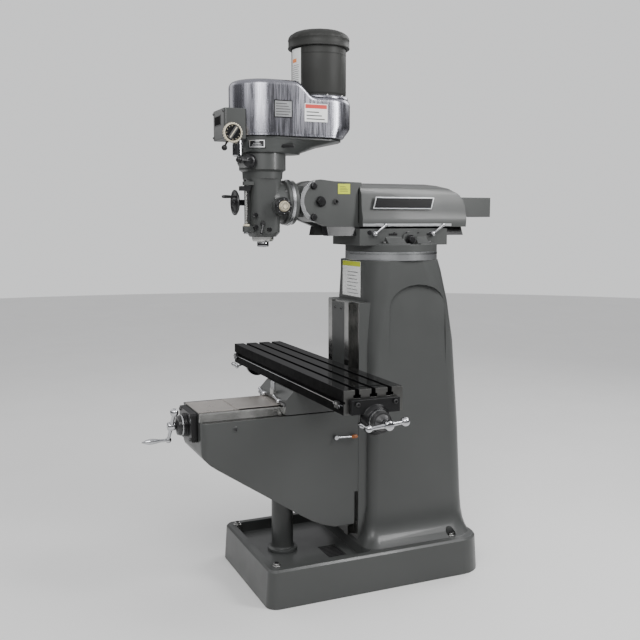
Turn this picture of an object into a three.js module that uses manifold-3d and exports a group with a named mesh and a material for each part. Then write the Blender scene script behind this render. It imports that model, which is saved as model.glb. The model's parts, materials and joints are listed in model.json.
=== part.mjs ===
// A floor-standing turret milling machine: column, turret, ram, variable-speed head, knee, saddle
// and table. Millimetres, +Z up, the operator stands at -Y and +X is at the operator's right. The
// origin is on the floor, under the turret's swivel axis.
import * as THREE from "three";
import { mergeVertices } from "three/addons/utils/BufferGeometryUtils.js";
import Module from "manifold-3d";

const wasm = await Module();
wasm.setup();

// ---- Driving dimensions ----
const GAP = 0.3; // between pieces that touch

// Base and column
const BASE_HALF = 305;
const BASE_FRONT = -670;
const BASE_REAR = 310;
const BASE_TOP = 150;
const BASE_TAPER = 12;
const FLOOR_PLATE = 25;
const TRAY_FLOOR = 112;
const TRAY_HALF = 262;
const TRAY_FRONT = -628;
const TRAY_REAR = -200;
const TRAY_UNDERSIDE = 78;
const COLUMN_HALF = 180;
const COLUMN_FRONT = -185;
const COLUMN_TOP = 1314;
const COLUMN_WALL = 28;
const DRAIN = { x0: 45, x1: 165, y0: -360, y1: -280 };
const BOLT_PLACES = {
  front_left: [-245, -618],
  front_right: [245, -618],
  rear_left: [-238, 172],
  rear_right: [238, 172],
};

// Knee ways on the column, a dovetail section in plan
const WAY_TOP = 1146;
const WAY_BOTTOM = 165;
const WAY_FACE = -222;
const WAY_FRONT = -246;
const WAY_FRONT_HALF = 100;
const WAY_ROOT_HALF = 83;
const WAY_FACE_HALF = 150;
const WAY_COVER_HALF = 60;

// Knee
const KNEE_HALF = 150;
const KNEE_FRONT = -880;
const KNEE_REAR = WAY_FACE - GAP;
const KNEE_BOTTOM = 232;
const KNEE_SHOULDER = 712;
const KNEE_WALL = 22;
const KNEE_WAY_TOP = 745;
const KNEE_WAY_HALF = 121;
const KNEE_WAY_ROOT = 110;
const LIFT_Y = -500; // elevating screw
const LIFT_PINION_Z = 605;
const CROSS_Z = 680; // cross-feed screw

// Saddle and table
const SADDLE_HALF = 152;
const SADDLE_FRONT = -541;
const SADDLE_REAR = -268;
const SADDLE_BOTTOM = 716;
const SADDLE_TOP = 809.5;
const TABLE_HALF_LENGTH = 609.6;
const TABLE_HALF_WIDTH = 115;
const TABLE_Y = -390;
const TABLE_TOP = 897;
const TABLE_BOTTOM = 810;
const TABLE_WAY_TOP = 836;
const SLOT_PITCH = 63.5;
const SLOT_NECK = 16;
const SLOT_HEAD = 28;
const FEED_Z = 790; // table screw
const SCREW_R = 12;

// Turret and ram
const RING_R = 194;
const RING_TOP = 1350;
const TURRET_FLANGE_TOP = 1384;
const TURRET_TOP = 1443;
const TURRET_HALF = 130;
const TURRET_FRONT = -212;
const TURRET_REAR = 196;
const RAM_BOTTOM = 1450;
const RAM_TOP = 1627;
const RAM_REAR = 300;
const RAM_WAY_BOTTOM = 1415;
const RAM_WAY_FRONT = -336;
const RAM_WAY_TOP_HALF = 82;
const RAM_WAY_HALF = 100;
const NOD_Y = -360;
const NOD_Z = 1551;
const EAR_R = 87;
const EAR_HALF = 80;
const TONGUE_HALF = 49;
const TILT_Z = 1547;

// Head
const SPINDLE_Y = -576;
const MOTOR_Y = -334;
const QUILL_R = 43;
const HOUSING_BOTTOM = 1412;
const NECK_TOP = 1735;
const GEAR_TOP = 1797;
const HEAD_FACE_Y = -480.6;
const DRUM_R = 131;
const REAR_DRUM_R = 127;
const DRUM_TOP = 2008;
const REAR_TOP = 1955;
const BELT_WALL = 7;
const MOTOR_R = 109;
const CAP_R = 123;
const MOTOR_TOP = 2150;
const PULLEY_Z = 1870;

// ---- Materials ----
function paint(color, roughness = 0.35, metalness = 0.1) {
  return new THREE.MeshStandardMaterial({ color, roughness, metalness });
}
const ENAMEL = paint(0x6b6e69);
const DARK_ENAMEL = paint(0x2d3031, 0.45);
const BLACK = paint(0x161616, 0.5);
const STEEL = paint(0xa9a9a6, 0.35, 1);
const CHROME = paint(0xd8d8d8, 0.1, 1);
const ALUMINIUM = paint(0xb9bbbd, 0.25, 1);
const GROUND_IRON = paint(0x4a4a4a, 0.4, 0.9);
const BLACK_RUBBER = paint(0x1b1b1b, 0.8, 0);

// ---- Solids ----
// A closed geometry as a solid. Triangles that collapse on an axis are left out.
function solid(geometry) {
  const g = geometry.index ? geometry.toNonIndexed() : geometry;
  const bare = new THREE.BufferGeometry().setAttribute("position", g.getAttribute("position"));
  const merged = mergeVertices(bare, 1e-3);
  const kept = [];
  const index = merged.index.array;
  for (let i = 0; i < index.length; i += 3) {
    const [a, b, c] = [index[i], index[i + 1], index[i + 2]];
    if (a !== b && b !== c && c !== a) kept.push(a, b, c);
  }
  return new wasm.Manifold(
    new wasm.Mesh({
      numProp: 3,
      vertProperties: merged.attributes.position.array,
      triVerts: new Uint32Array(kept),
    }),
  );
}

function geometryOf(made) {
  const mesh = made.getMesh();
  const g = new THREE.BufferGeometry();
  g.setAttribute("position", new THREE.BufferAttribute(new Float32Array(mesh.vertProperties), 3));
  g.setIndex(new THREE.BufferAttribute(new Uint32Array(mesh.triVerts), 1));
  g.computeVertexNormals();
  return g;
}

const join = (...solids) => solids.reduce((a, b) => a.add(b));
const cut = (from, ...solids) => solids.reduce((a, b) => a.subtract(b), from);

function box(x0, x1, y0, y1, z0, z1) {
  const g = new THREE.BoxGeometry(x1 - x0, y1 - y0, z1 - z0);
  return solid(g.translate((x0 + x1) / 2, (y0 + y1) / 2, (z0 + z1) / 2));
}

// Turns a geometry made along local +Z so that it runs along a world axis.
const ALONG = {
  x: new THREE.Matrix4().makeBasis(
    new THREE.Vector3(0, 1, 0), new THREE.Vector3(0, 0, 1), new THREE.Vector3(1, 0, 0)),
  y: new THREE.Matrix4().makeBasis(
    new THREE.Vector3(0, 0, 1), new THREE.Vector3(1, 0, 0), new THREE.Vector3(0, 1, 0)),
  z: new THREE.Matrix4(),
};

// A solid turned on an axis from pairs of radius and place along the axis. at holds the axis's two
// other coordinates, in x, y, z order.
function turned(axis, at, profile, segments = 24) {
  const points = profile.map(([r, s]) => new THREE.Vector2(r, s));
  const g = new THREE.LatheGeometry(points, segments).rotateX(Math.PI / 2).applyMatrix4(ALONG[axis]);
  const [a, b] = at;
  const offset = { x: [0, a, b], y: [a, 0, b], z: [a, b, 0] }[axis];
  const made = solid(g.translate(...offset));
  return made.volume() < 0 ? solid(flipped(g)) : made;
}

function flipped(geometry) {
  const g = geometry.index ? geometry.toNonIndexed() : geometry;
  const p = g.getAttribute("position");
  for (let i = 0; i < p.count; i += 3) {
    const b = [p.getX(i + 1), p.getY(i + 1), p.getZ(i + 1)];
    p.setXYZ(i + 1, p.getX(i + 2), p.getY(i + 2), p.getZ(i + 2));
    p.setXYZ(i + 2, ...b);
  }
  return g;
}

function rod(axis, at, r, from, to, segments = 24) {
  return turned(axis, at, [[0, from], [r, from], [r, to], [0, to]], segments);
}

// A rod between two points.
function strut(a, b, r0, r1 = r0, segments = 12) {
  const from = new THREE.Vector3(...a);
  const way = new THREE.Vector3(...b).sub(from);
  const g = new THREE.CylinderGeometry(r1, r0, way.length(), segments);
  g.translate(0, way.length() / 2, 0);
  const up = new THREE.Vector3(0, 1, 0);
  g.applyQuaternion(new THREE.Quaternion().setFromUnitVectors(up, way.clone().normalize()));
  return solid(g.translate(...a));
}

function ball(centre, r, segments = 14) {
  return solid(new THREE.SphereGeometry(r, segments, Math.round(segments * 0.7)).translate(...centre));
}

// An outline extruded along an axis. For axis x the outline is (y, z) pairs, for z it is (x, y),
// and for y it is (z, x).
function prism(axis, outline, from, to) {
  const shape = new THREE.Shape(outline.map(([a, b]) => new THREE.Vector2(a, b)));
  const g = new THREE.ExtrudeGeometry(shape, { depth: to - from, bevelEnabled: false, curveSegments: 1 });
  return solid(g.translate(0, 0, from).applyMatrix4(ALONG[axis]));
}

// An arc's points about a centre, from angle a0 to a1 in degrees.
function arc(cx, cy, r, a0, a1, steps = 6) {
  const points = [];
  for (let i = 0; i <= steps; i++) {
    const a = THREE.MathUtils.degToRad(a0 + ((a1 - a0) * i) / steps);
    points.push([cx + r * Math.cos(a), cy + r * Math.sin(a)]);
  }
  return points;
}

// A rectangle in plan with its own corner radius at the front (-Y) and at the rear.
function roundedPlan({ half, front, rear, frontR, rearR }, steps = 6) {
  return [
    ...arc(half - frontR, front + frontR, frontR, -90, 0, steps),
    ...arc(half - rearR, rear - rearR, rearR, 0, 90, steps),
    ...arc(-half + rearR, rear - rearR, rearR, 90, 180, steps),
    ...arc(-half + frontR, front + frontR, frontR, 180, 270, steps),
  ];
}

// Two circles on the Y axis in plan, joined by their tangents.
function pearPlan(frontY, frontR, rearY, rearR, steps = 10) {
  const lean = THREE.MathUtils.radToDeg(Math.asin((frontR - rearR) / (rearY - frontY)));
  return [
    ...arc(0, rearY, rearR, lean, 180 - lean, steps),
    ...arc(0, frontY, frontR, 180 - lean, 360 + lean, steps),
  ];
}

// A closed skin through plans of equal point count, each at its own height.
function loft(levels) {
  const n = levels[0].plan.length;
  const at = (k, i) => [...levels[k].plan[i % n], levels[k].z];
  const triangles = [];
  for (let k = 0; k + 1 < levels.length; k++)
    for (let i = 0; i < n; i++)
      triangles.push(at(k, i), at(k, i + 1), at(k + 1, i + 1), at(k, i), at(k + 1, i + 1), at(k + 1, i));
  const top = levels.length - 1;
  for (let i = 1; i + 1 < n; i++)
    triangles.push(at(0, 0), at(0, i + 1), at(0, i), at(top, 0), at(top, i), at(top, i + 1));
  const g = new THREE.BufferGeometry();
  return solid(g.setAttribute("position", new THREE.Float32BufferAttribute(triangles.flat(), 3)));
}

// ---- Scene graph ----
const machine = new THREE.Group();
function add(name, made, material) {
  const mesh = new THREE.Mesh(geometryOf(made), material);
  mesh.name = name;
  machine.add(mesh);
  return made;
}

// ---- Column and base ----
// The column's plan at some heights: it narrows upwards at the rear and flares into the base.
const COLUMN_LEVELS = [
  { z: 108, half: 270, front: -235, rear: 300, frontR: 66, rearR: 108 },
  { z: 150, half: 256, front: -230, rear: 295, frontR: 62, rearR: 104 },
  { z: 168, half: 232, front: -216, rear: 292, frontR: 56, rearR: 98 },
  { z: 192, half: 210, front: -204, rear: 289, frontR: 48, rearR: 88 },
  { z: 232, half: 193, front: -194, rear: 284, frontR: 42, rearR: 76 },
  { z: 300, half: 183, front: COLUMN_FRONT, rear: 280, frontR: 40, rearR: 70 },
  { z: 620, half: COLUMN_HALF, front: COLUMN_FRONT, rear: 262, frontR: 40, rearR: 70 },
  { z: 973, half: COLUMN_HALF, front: COLUMN_FRONT, rear: 235, frontR: 44, rearR: 80 },
  { z: 1140, half: COLUMN_HALF, front: COLUMN_FRONT, rear: 214, frontR: 70, rearR: 100 },
  { z: 1268, half: COLUMN_HALF, front: COLUMN_FRONT, rear: 194, frontR: 92, rearR: 130 },
  { z: COLUMN_TOP, half: COLUMN_HALF, front: COLUMN_FRONT, rear: 187, frontR: 92, rearR: 150 },
];

function inset(level, by) {
  return {
    ...level,
    half: level.half - by,
    front: level.front + by,
    rear: level.rear - by,
    frontR: Math.max(level.frontR - by, 8),
    rearR: level.rearR - by,
  };
}

function columnShell() {
  return loft(COLUMN_LEVELS.map((level) => ({ z: level.z, plan: roundedPlan(level) })));
}

const CAVITY_HALF = 182; // the cavity stays plain where the outside flares
function columnCavity() {
  const levels = COLUMN_LEVELS.map((level) => {
    const drawnIn = inset(level, COLUMN_WALL);
    return { ...drawnIn, half: Math.min(drawnIn.half, CAVITY_HALF) };
  });
  levels[0].z = FLOOR_PLATE;
  levels[levels.length - 1].z = COLUMN_TOP - 26;
  const inside = loft(levels.map((level) => ({ z: level.z, plan: roundedPlan(level, 3) })));
  return join(inside, rod("z", [0, 0], 115, COLUMN_TOP - 40, COLUMN_TOP + 5));
}

function baseBlock() {
  const foot = { half: BASE_HALF, front: BASE_FRONT, rear: BASE_REAR, frontR: 45, rearR: 110 };
  return loft([
    { z: 0, plan: roundedPlan(foot) },
    { z: BASE_TOP - 8, plan: roundedPlan(inset(foot, BASE_TAPER - 3)) },
    { z: BASE_TOP, plan: roundedPlan(inset(foot, BASE_TAPER + 5)) },
  ]);
}

function trayPocket() {
  const top = { half: TRAY_HALF, front: TRAY_FRONT, rear: TRAY_REAR, frontR: 40, rearR: 40 };
  return loft([
    { z: TRAY_FLOOR, plan: roundedPlan(inset(top, 16), 3) },
    { z: BASE_TOP + 1, plan: roundedPlan(top, 3) },
  ]);
}

// The arched recess on each side of the column, deepest under the arch and flush lower down.
function sideRecess(side) {
  const outline = [[-100, 860], [168, 860], [168, 1125], ...arc(34, 1125, 134, 0, 180, 10).slice(1, -1),
    [-100, 1125]].map(([y, z]) => [y, z > 1125 ? 1125 + (z - 1125) * 0.68 : z]);
  const panel = prism("x", outline, 0, 60);
  const lean = new THREE.Matrix4().makeShear(0, 0, 0, 0, -0.055, 0);
  const placed = geometryOf(panel).applyMatrix4(lean);
  placed.translate(COLUMN_HALF - 19 + 0.055 * 1216, 0, 0);
  if (side > 0) return solid(placed);
  return solid(flipped(placed.applyMatrix4(new THREE.Matrix4().makeScale(-1, 1, 1))));
}

function columnBase() {
  const dovetail = prism("z", [[-WAY_ROOT_HALF, WAY_FACE + 1], [-WAY_FRONT_HALF, WAY_FRONT],
    [WAY_FRONT_HALF, WAY_FRONT], [WAY_ROOT_HALF, WAY_FACE + 1]], WAY_BOTTOM, WAY_TOP);
  const ways = box(-WAY_FACE_HALF, WAY_FACE_HALF, WAY_FACE, -150, WAY_BOTTOM - 40, WAY_TOP);
  const coverSeat = box(-WAY_COVER_HALF - 1, WAY_COVER_HALF + 1, WAY_FRONT - 1, WAY_FRONT + 8,
    WAY_BOTTOM - 1, WAY_TOP + 1);
  const shell = join(cut(baseBlock(), trayPocket()), columnShell(), ways, dovetail);
  const inner = { half: BASE_HALF - 35, front: BASE_FRONT + 35, rear: BASE_REAR - 35, frontR: 30, rearR: 80 };
  const baseCavity = loft([
    { z: FLOOR_PLATE, plan: roundedPlan(inner, 3) },
    { z: TRAY_UNDERSIDE, plan: roundedPlan(inner, 3) },
  ]);
  const boltHoles = Object.values(BOLT_PLACES).map((at) => rod("z", at, 9, -1, BASE_TOP + 1, 12));
  const spotFaces = Object.values(BOLT_PLACES).map((at) => rod("z", at, 21, BASE_TOP, BASE_TOP + 110, 24));
  return cut(shell, columnCavity(), baseCavity, coverSeat, sideRecess(1), sideRecess(-1),
    box(DRAIN.x0, DRAIN.x1, DRAIN.y0, DRAIN.y1, TRAY_UNDERSIDE - 5, TRAY_FLOOR + 5),
    rod("z", [0, LIFT_Y], 26, TRAY_UNDERSIDE - 5, TRAY_FLOOR + 5), ...boltHoles, ...spotFaces);
}

function levellingBolt([x, y]) {
  const top = BASE_TOP + GAP;
  const shank = turned("z", [x, y], [[0, 0], [8, 0], [8, top], [17, top], [17, top + 4], [0, top + 4]], 12);
  return join(shank, rod("z", [x, y], 13, top + 3.9, top + 15, 6));
}

function columnWayCover() {
  return box(-WAY_COVER_HALF, WAY_COVER_HALF, WAY_FRONT, WAY_FRONT + 8 - GAP, 560, WAY_TOP - 8);
}

// Stands on the tray floor and holds the elevating nut at its top.
const PEDESTAL_TOP = 455;
function pedestal() {
  const foot = TRAY_FLOOR + GAP;
  return turned("z", [0, LIFT_Y], [[26, foot], [62, foot], [62, foot + 12], [50, foot + 15],
    [45, foot + 24], [45, PEDESTAL_TOP], [15.6, PEDESTAL_TOP], [15.6, PEDESTAL_TOP - 30],
    [26, PEDESTAL_TOP - 34], [26, foot]]);
}

// ---- Turret ----
const PINION_Y = 14; // shaft that drives the ram
const PINION_Z = 1399;
function turret() {
  const flange = turned("z", [0, 0], [[0, RING_TOP + GAP], [RING_R, RING_TOP + GAP],
    [RING_R, TURRET_FLANGE_TOP - 6], [RING_R - 8, TURRET_FLANGE_TOP], [0, TURRET_FLANGE_TOP]], 40);
  const block = box(-TURRET_HALF, TURRET_HALF, TURRET_FRONT, TURRET_REAR, TURRET_FLANGE_TOP - 8, TURRET_TOP);
  const skirt = prism("y", [[TURRET_FLANGE_TOP - 8, -168], [TURRET_TOP - 34, -TURRET_HALF],
    [TURRET_TOP - 34, TURRET_HALF], [TURRET_FLANGE_TOP - 8, 168]], -95, 95);
  const clear = 0.6;
  const slide = prism("y", [[RAM_WAY_BOTTOM - clear, -RAM_WAY_HALF - clear],
    [TURRET_TOP + 1, -RAM_WAY_TOP_HALF - clear - 4], [TURRET_TOP + 1, RAM_WAY_TOP_HALF + clear + 4],
    [RAM_WAY_BOTTOM - clear, RAM_WAY_HALF + clear]], TURRET_FRONT - 5, TURRET_REAR + 5);
  const face = TURRET_HALF + 9.7;
  const pinionBoss = rod("x", [PINION_Y, PINION_Z], 34, TURRET_HALF - 12, face, 20);
  const pinionSeat = rod("x", [PINION_Y, PINION_Z], 30, face, TURRET_HALF + 60, 20);
  return cut(join(flange, block, skirt, pinionBoss), slide, pinionSeat);
}

function turretRing() {
  const foot = COLUMN_TOP + GAP;
  const inner = 110;
  return turned("z", [0, 0], [[inner, foot], [RING_R, foot], [RING_R, RING_TOP], [inner, RING_TOP],
    [inner, foot]], 40);
}

const RAM_LOCK_Z = 1422;
const RAM_LOCK_Y = { front: -148, rear: 121 };
function ramLockLever(y) {
  const face = TURRET_HALF + GAP;
  const hub = turned("x", [y, RAM_LOCK_Z], [[0, face], [11, face], [11, face + 14], [7, face + 20],
    [0, face + 20]], 14);
  const x = face + 11;
  return join(hub, strut([x, y, RAM_LOCK_Z], [x + 8, y + 44, RAM_LOCK_Z + 36], 5, 6),
    ball([x + 8, y + 44, RAM_LOCK_Z + 36], 8, 10));
}

function ramPinionHub() {
  const face = TURRET_HALF + 10;
  return join(
    rod("x", [PINION_Y, PINION_Z], 21, face, face + 6, 20),
    rod("x", [PINION_Y, PINION_Z], 15, face + 5, face + 22, 6));
}

// ---- Ram ----
function ramSide() {
  return [[-190, RAM_BOTTOM], [RAM_REAR, RAM_BOTTOM], [RAM_REAR, 1535], [290, 1562], [268, 1588], [230, 1609],
    [180, 1622], [130, RAM_TOP], [-190, RAM_TOP]];
}

function ramFrontView(half) {
  return [[RAM_BOTTOM, -half], [1486, -half - 3], [1520, -half + 8], [RAM_TOP - 46, -half + 12],
    [RAM_TOP - 16, -half + 30], [RAM_TOP, -half + 62], [RAM_TOP, half - 62], [RAM_TOP - 16, half - 30],
    [RAM_TOP - 46, half - 12], [1520, half - 8], [1486, half + 3], [RAM_BOTTOM, half]].reverse();
}

function ram() {
  const body = prism("y", ramFrontView(112), -215, RAM_REAR).intersect(prism("x", ramSide(), -120, 120));
  const nose = prism("x", [...arc(NOD_Y, NOD_Z, EAR_R, 90, 232, 12), [-330, RAM_BOTTOM], [-180, RAM_BOTTOM],
    [-180, 1629], [-300, 1632]], -EAR_HALF, EAR_HALF);
  const way = prism("y", [[RAM_WAY_BOTTOM, -RAM_WAY_HALF], [RAM_BOTTOM + 1, -RAM_WAY_TOP_HALF],
    [RAM_BOTTOM + 1, RAM_WAY_TOP_HALF], [RAM_WAY_BOTTOM, RAM_WAY_HALF]], RAM_WAY_FRONT, RAM_REAR - 6);
  const slot = box(-TONGUE_HALF - 0.5, TONGUE_HALF + 0.5, -460, -266, RAM_BOTTOM + 12, 1700);
  const slotBelow = box(-TONGUE_HALF - 0.5, TONGUE_HALF + 0.5, -460, -300, 1400, 1700);
  const cavity = prism("x", [[-195, RAM_BOTTOM + 14], [RAM_REAR + 5, RAM_BOTTOM + 14], [RAM_REAR + 5, 1520],
    [262, 1560], [200, 1596], [120, 1604], [-195, 1604]], -84, 84);
  const underside = box(-60, 60, -300, RAM_REAR + 5, RAM_WAY_BOTTOM - 2, RAM_WAY_BOTTOM + 12);
  return cut(join(body, nose, way), slot, slotBelow, cavity, underside,
    rod("x", [NOD_Y, NOD_Z], 12.5, -100, 100, 16));
}

function ramRearBracket() {
  const y0 = RAM_REAR + GAP;
  return cut(box(-60, 60, y0, 458, 1491, 1575), box(-54, 54, y0 + 8, 450, 1480, 1590));
}

const EAR_FACE = EAR_HALF + GAP;
function pivotBolt() {
  return join(
    rod("x", [NOD_Y, NOD_Z], 12, -EAR_FACE - 12, EAR_FACE + 1, 16),
    rod("x", [NOD_Y, NOD_Z], 22, EAR_FACE, EAR_FACE + 4, 20),
    rod("x", [NOD_Y, NOD_Z], 15, EAR_FACE + 3, EAR_FACE + 16, 6));
}

function knuckleLockBolt(z) {
  const y = NOD_Y - 31;
  return join(
    rod("x", [y, z], 15, EAR_FACE, EAR_FACE + 3, 16),
    rod("x", [y, z], 12, EAR_FACE + 2.9, EAR_FACE + 14, 6));
}

// ---- Knuckle between ram and head ----
const FLANGE_Y = -452;
function ramAdapter() {
  const tongue = rod("x", [NOD_Y, NOD_Z], EAR_R - 5, -TONGUE_HALF, TONGUE_HALF, 36);
  const neck = box(-TONGUE_HALF, TONGUE_HALF, FLANGE_Y - 6, NOD_Y, NOD_Z - 62, NOD_Z + 62);
  const flange = rod("y", [0, TILT_Z], 88, FLANGE_Y - 14, FLANGE_Y, 36);
  return cut(join(tongue, neck, flange), rod("x", [NOD_Y, NOD_Z], 12.5, -100, 100, 16));
}

function tiltRing() {
  const y1 = FLANGE_Y - 14 - GAP;
  const y0 = y1 - 13.7;
  return turned("y", [0, TILT_Z], [[40, y0], [91, y0], [91, y1], [40, y1], [40, y0]], 36);
}

// ---- Head ----
const STOP_ROD = { x: 40, y: -658 };
const FEED_HUB = { y: -525, z: 1531, face: 90 };
const HIGH_LOW = { y: -658, z: 1701, face: 84 };
function headCasting() {
  const barrel = loft([
    { z: HOUSING_BOTTOM, plan: roundedPlan({ half: 50, front: -626, rear: -526, frontR: 40, rearR: 40 }, 5) },
    { z: 1430, plan: roundedPlan({ half: 60, front: -634, rear: -516, frontR: 34, rearR: 34 }, 5) },
    { z: 1618, plan: roundedPlan({ half: 62, front: -634, rear: -514, frontR: 30, rearR: 30 }, 5) },
    { z: 1640, plan: roundedPlan({ half: 72, front: -652, rear: -504, frontR: 60, rearR: 60 }, 5) },
  ]);
  const neck = turned("z", [0, SPINDLE_Y], [[0, 1638], [78, 1638], [80, 1664], [92, 1672], [92, NECK_TOP],
    [0, NECK_TOP]], 32);
  const flange = turned("y", [0, TILT_Z], [[0, -548], [66, -548], [76, -530], [78, -496], [88, -492],
    [88, HEAD_FACE_Y], [0, HEAD_FACE_Y]], 36);
  const hubBosses = join(rod("x", [FEED_HUB.y, FEED_HUB.z], 36, 40, FEED_HUB.face, 24),
    rod("x", [HIGH_LOW.y, HIGH_LOW.z], 25, 10, HIGH_LOW.face, 20));
  const lugs = join(box(28, 52, -670, -630, 1432, 1454), box(28, 52, -668, -630, 1612, 1626));
  const rodHole = rod("z", [STOP_ROD.x, STOP_ROD.y], 7.3, 1425, 1635, 14);
  const linkSlot = box(9, 27, -660, SPINDLE_Y - 20, 1460, 1612);
  const bore = turned("z", [0, SPINDLE_Y], [[0, 1400], [QUILL_R + 0.3, 1400], [QUILL_R + 0.3, 1690],
    [30, 1700], [30, 1740], [0, 1740]], 28);
  return cut(join(barrel, neck, flange, hubBosses, lugs), rodHole, linkSlot, bore,
    rod("x", [FEED_HUB.y, FEED_HUB.z], 12, FEED_HUB.face - 14, FEED_HUB.face + 10, 14));
}

function gearHousing() {
  const shell = loft([
    { z: NECK_TOP + GAP, plan: pearPlan(SPINDLE_Y, 106, -470, 52) },
    { z: 1764, plan: pearPlan(SPINDLE_Y, 111, -420, 70) },
    { z: GEAR_TOP - 8, plan: pearPlan(SPINDLE_Y, 114, MOTOR_Y, 84) },
    { z: GEAR_TOP, plan: pearPlan(SPINDLE_Y, 118, MOTOR_Y, 88) },
  ]);
  return cut(shell, rod("z", [0, SPINDLE_Y], 30, NECK_TOP - 5, GEAR_TOP + 5, 20));
}

// The housing's outside, or its inside when drawn in by the wall and let run out below.
function beltSkin(by, bottom) {
  const rear = MOTOR_Y + REAR_DRUM_R;
  const side = [[-720, bottom], [rear - 40 - by, bottom], [rear - by, GEAR_TOP + 45],
    [rear + 5, REAR_TOP - by], [-418, REAR_TOP - by],
    [-474, DRUM_TOP - by], [-652, DRUM_TOP - by], [-684, DRUM_TOP - 10 - by], [-702, DRUM_TOP - 30 - by],
    [-720, DRUM_TOP - 70 - by]];
  const plan = pearPlan(SPINDLE_Y, DRUM_R - by, MOTOR_Y, REAR_DRUM_R - by, 12);
  return prism("z", plan, bottom, DRUM_TOP + 5).intersect(prism("x", side, -160, 160));
}

function beltHousing() {
  const seat = (r, z) => rod("z", [0, MOTOR_Y], MOTOR_R + r, z, DRUM_TOP + 10, 40);
  const outside = cut(beltSkin(0, GEAR_TOP + GAP), seat(0.8, REAR_TOP));
  const inside = cut(beltSkin(BELT_WALL, GEAR_TOP - 5), seat(BELT_WALL, REAR_TOP - BELT_WALL));
  return cut(outside, inside, rod("z", [0, SPINDLE_Y], 16, DRUM_TOP - 20, DRUM_TOP + 5, 20),
    rod("z", [0, MOTOR_Y], 40, REAR_TOP - 20, REAR_TOP + 5, 24));
}

function motor() {
  const foot = REAR_TOP + GAP;
  const frame = turned("z", [0, MOTOR_Y], [[0, foot], [MOTOR_R, foot], [MOTOR_R, MOTOR_TOP], [86, MOTOR_TOP],
    [86, foot + 24], [0, foot + 24]], 36);
  return join(frame, rod("z", [0, MOTOR_Y], 34, foot + 20, MOTOR_TOP - 30, 20));
}

function motorCap() {
  const foot = MOTOR_TOP + GAP;
  const outer = [[CAP_R, foot], [CAP_R, foot + 14], [119, foot + 34], [104, foot + 56], [70, foot + 70],
    [0, foot + 75]];
  const inner = [[0, foot + 62], [66, foot + 58], [96, foot + 46], [108, foot + 28], [108, foot]];
  return turned("z", [0, MOTOR_Y], [[108, foot], ...outer, ...inner], 36);
}

const SPEED_BOX = { x0: -62, x1: 90, front: -757, z0: 1782, z1: 1896 };
function speedBox() {
  const half = (SPEED_BOX.x1 - SPEED_BOX.x0) / 2;
  const outline = roundedPlan({ half, front: SPEED_BOX.front, rear: -640, frontR: 10, rearR: 5 }, 2)
    .map(([x, y]) => [x + (SPEED_BOX.x0 + SPEED_BOX.x1) / 2, y]);
  const block = prism("z", outline, SPEED_BOX.z0, SPEED_BOX.z1);
  return cut(block, rod("z", [0, SPINDLE_Y], DRUM_R + 0.8, 1700, 2050, 48));
}

const DIAL = { y: -728, z: 1803 };
function speedDial() {
  const face = SPEED_BOX.x1 + GAP;
  return turned("x", [DIAL.y, DIAL.z], [[0, face], [32, face], [38, face + 5], [38, face + 15],
    [31, face + 17], [31, face + 20], [0, face + 20]], 20);
}

const BRAKE = { x: 72, y: -741, z: SPEED_BOX.z0 - 8 };
function brakeLever() {
  return join(strut([BRAKE.x, BRAKE.y, BRAKE.z + 7.5], [BRAKE.x, BRAKE.y, BRAKE.z - 6], 6, 6),
    strut([BRAKE.x, BRAKE.y, BRAKE.z], [BRAKE.x + 8, BRAKE.y - 14, BRAKE.z - 24], 4),
    ball([BRAKE.x + 8, BRAKE.y - 14, BRAKE.z - 26], 11));
}

function shiftPlunger() {
  const top = SPEED_BOX.z0 - GAP;
  return turned("z", [72, -700], [[0, 1718], [17, 1718], [20, 1722], [20, top - 6], [16, top], [0, top]], 20);
}

function highLowLever() {
  const x = HIGH_LOW.face + GAP;
  const { y, z } = HIGH_LOW;
  const hub = turned("x", [y, z], [[0, x], [27, x], [27, x + 9], [15, x + 18], [0, x + 18]], 20);
  return join(hub, strut([x + 10, y, z], [x + 26, y - 48, z + 2], 5, 5), ball([x + 26, y - 50, z + 2], 12));
}

const QUILL_LOCK = { y: -600, z: 1466 };
function quillLockLever() {
  const x = 62.5;
  return join(rod("x", [QUILL_LOCK.y, QUILL_LOCK.z], 9, x, x + 16, 12),
    strut([x + 11, QUILL_LOCK.y, QUILL_LOCK.z], [x + 15, QUILL_LOCK.y - 10, QUILL_LOCK.z - 42], 4, 6));
}

function feedHub() {
  const x = FEED_HUB.face + GAP;
  const drum = turned("x", [FEED_HUB.y, FEED_HUB.z], [[0, x], [34, x], [34, x + 12], [30, x + 16],
    [20, x + 16], [18, x + 30], [0, x + 30]], 28);
  return join(drum, rod("x", [FEED_HUB.y, FEED_HUB.z], 11, x - 11, x + 2, 14));
}

const FEED_WHEEL = { x: -22, z: 1546 };
function feedWheel() {
  const at = [FEED_WHEEL.x, FEED_WHEEL.z];
  const wheel = turned("y", at, [[0, -697], [14, -697], [16, -690], [42, -684], [50, -688], [50, -680],
    [42, -676], [16, -680], [12, -672], [12, -634.5], [0, -634.5]], 28);
  const [x, z] = [FEED_WHEEL.x + 34, FEED_WHEEL.z + 22];
  return join(wheel, strut([x, -680, z], [x, -747, z], 4.5, 6.5));
}

function quillStopRod() {
  return join(
    rod("z", [STOP_ROD.x, STOP_ROD.y], 7, 1428, 1632, 14),
    rod("z", [STOP_ROD.x, STOP_ROD.y], 12, 1454.3, 1462, 16),
    rod("z", [STOP_ROD.x, STOP_ROD.y], 11, 1424, 1431.7, 16));
}

function quillStopBlock() {
  const passage = rod("z", [STOP_ROD.x, STOP_ROD.y], 7.5, 1580, 1620, 14);
  const block = cut(box(30, 58, -684, -645, 1590, 1608), passage);
  return join(block, box(12, 34, -652, -640, 1590, 1608), box(12, 24, -642, -617.8, 1590, 1608));
}

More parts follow.
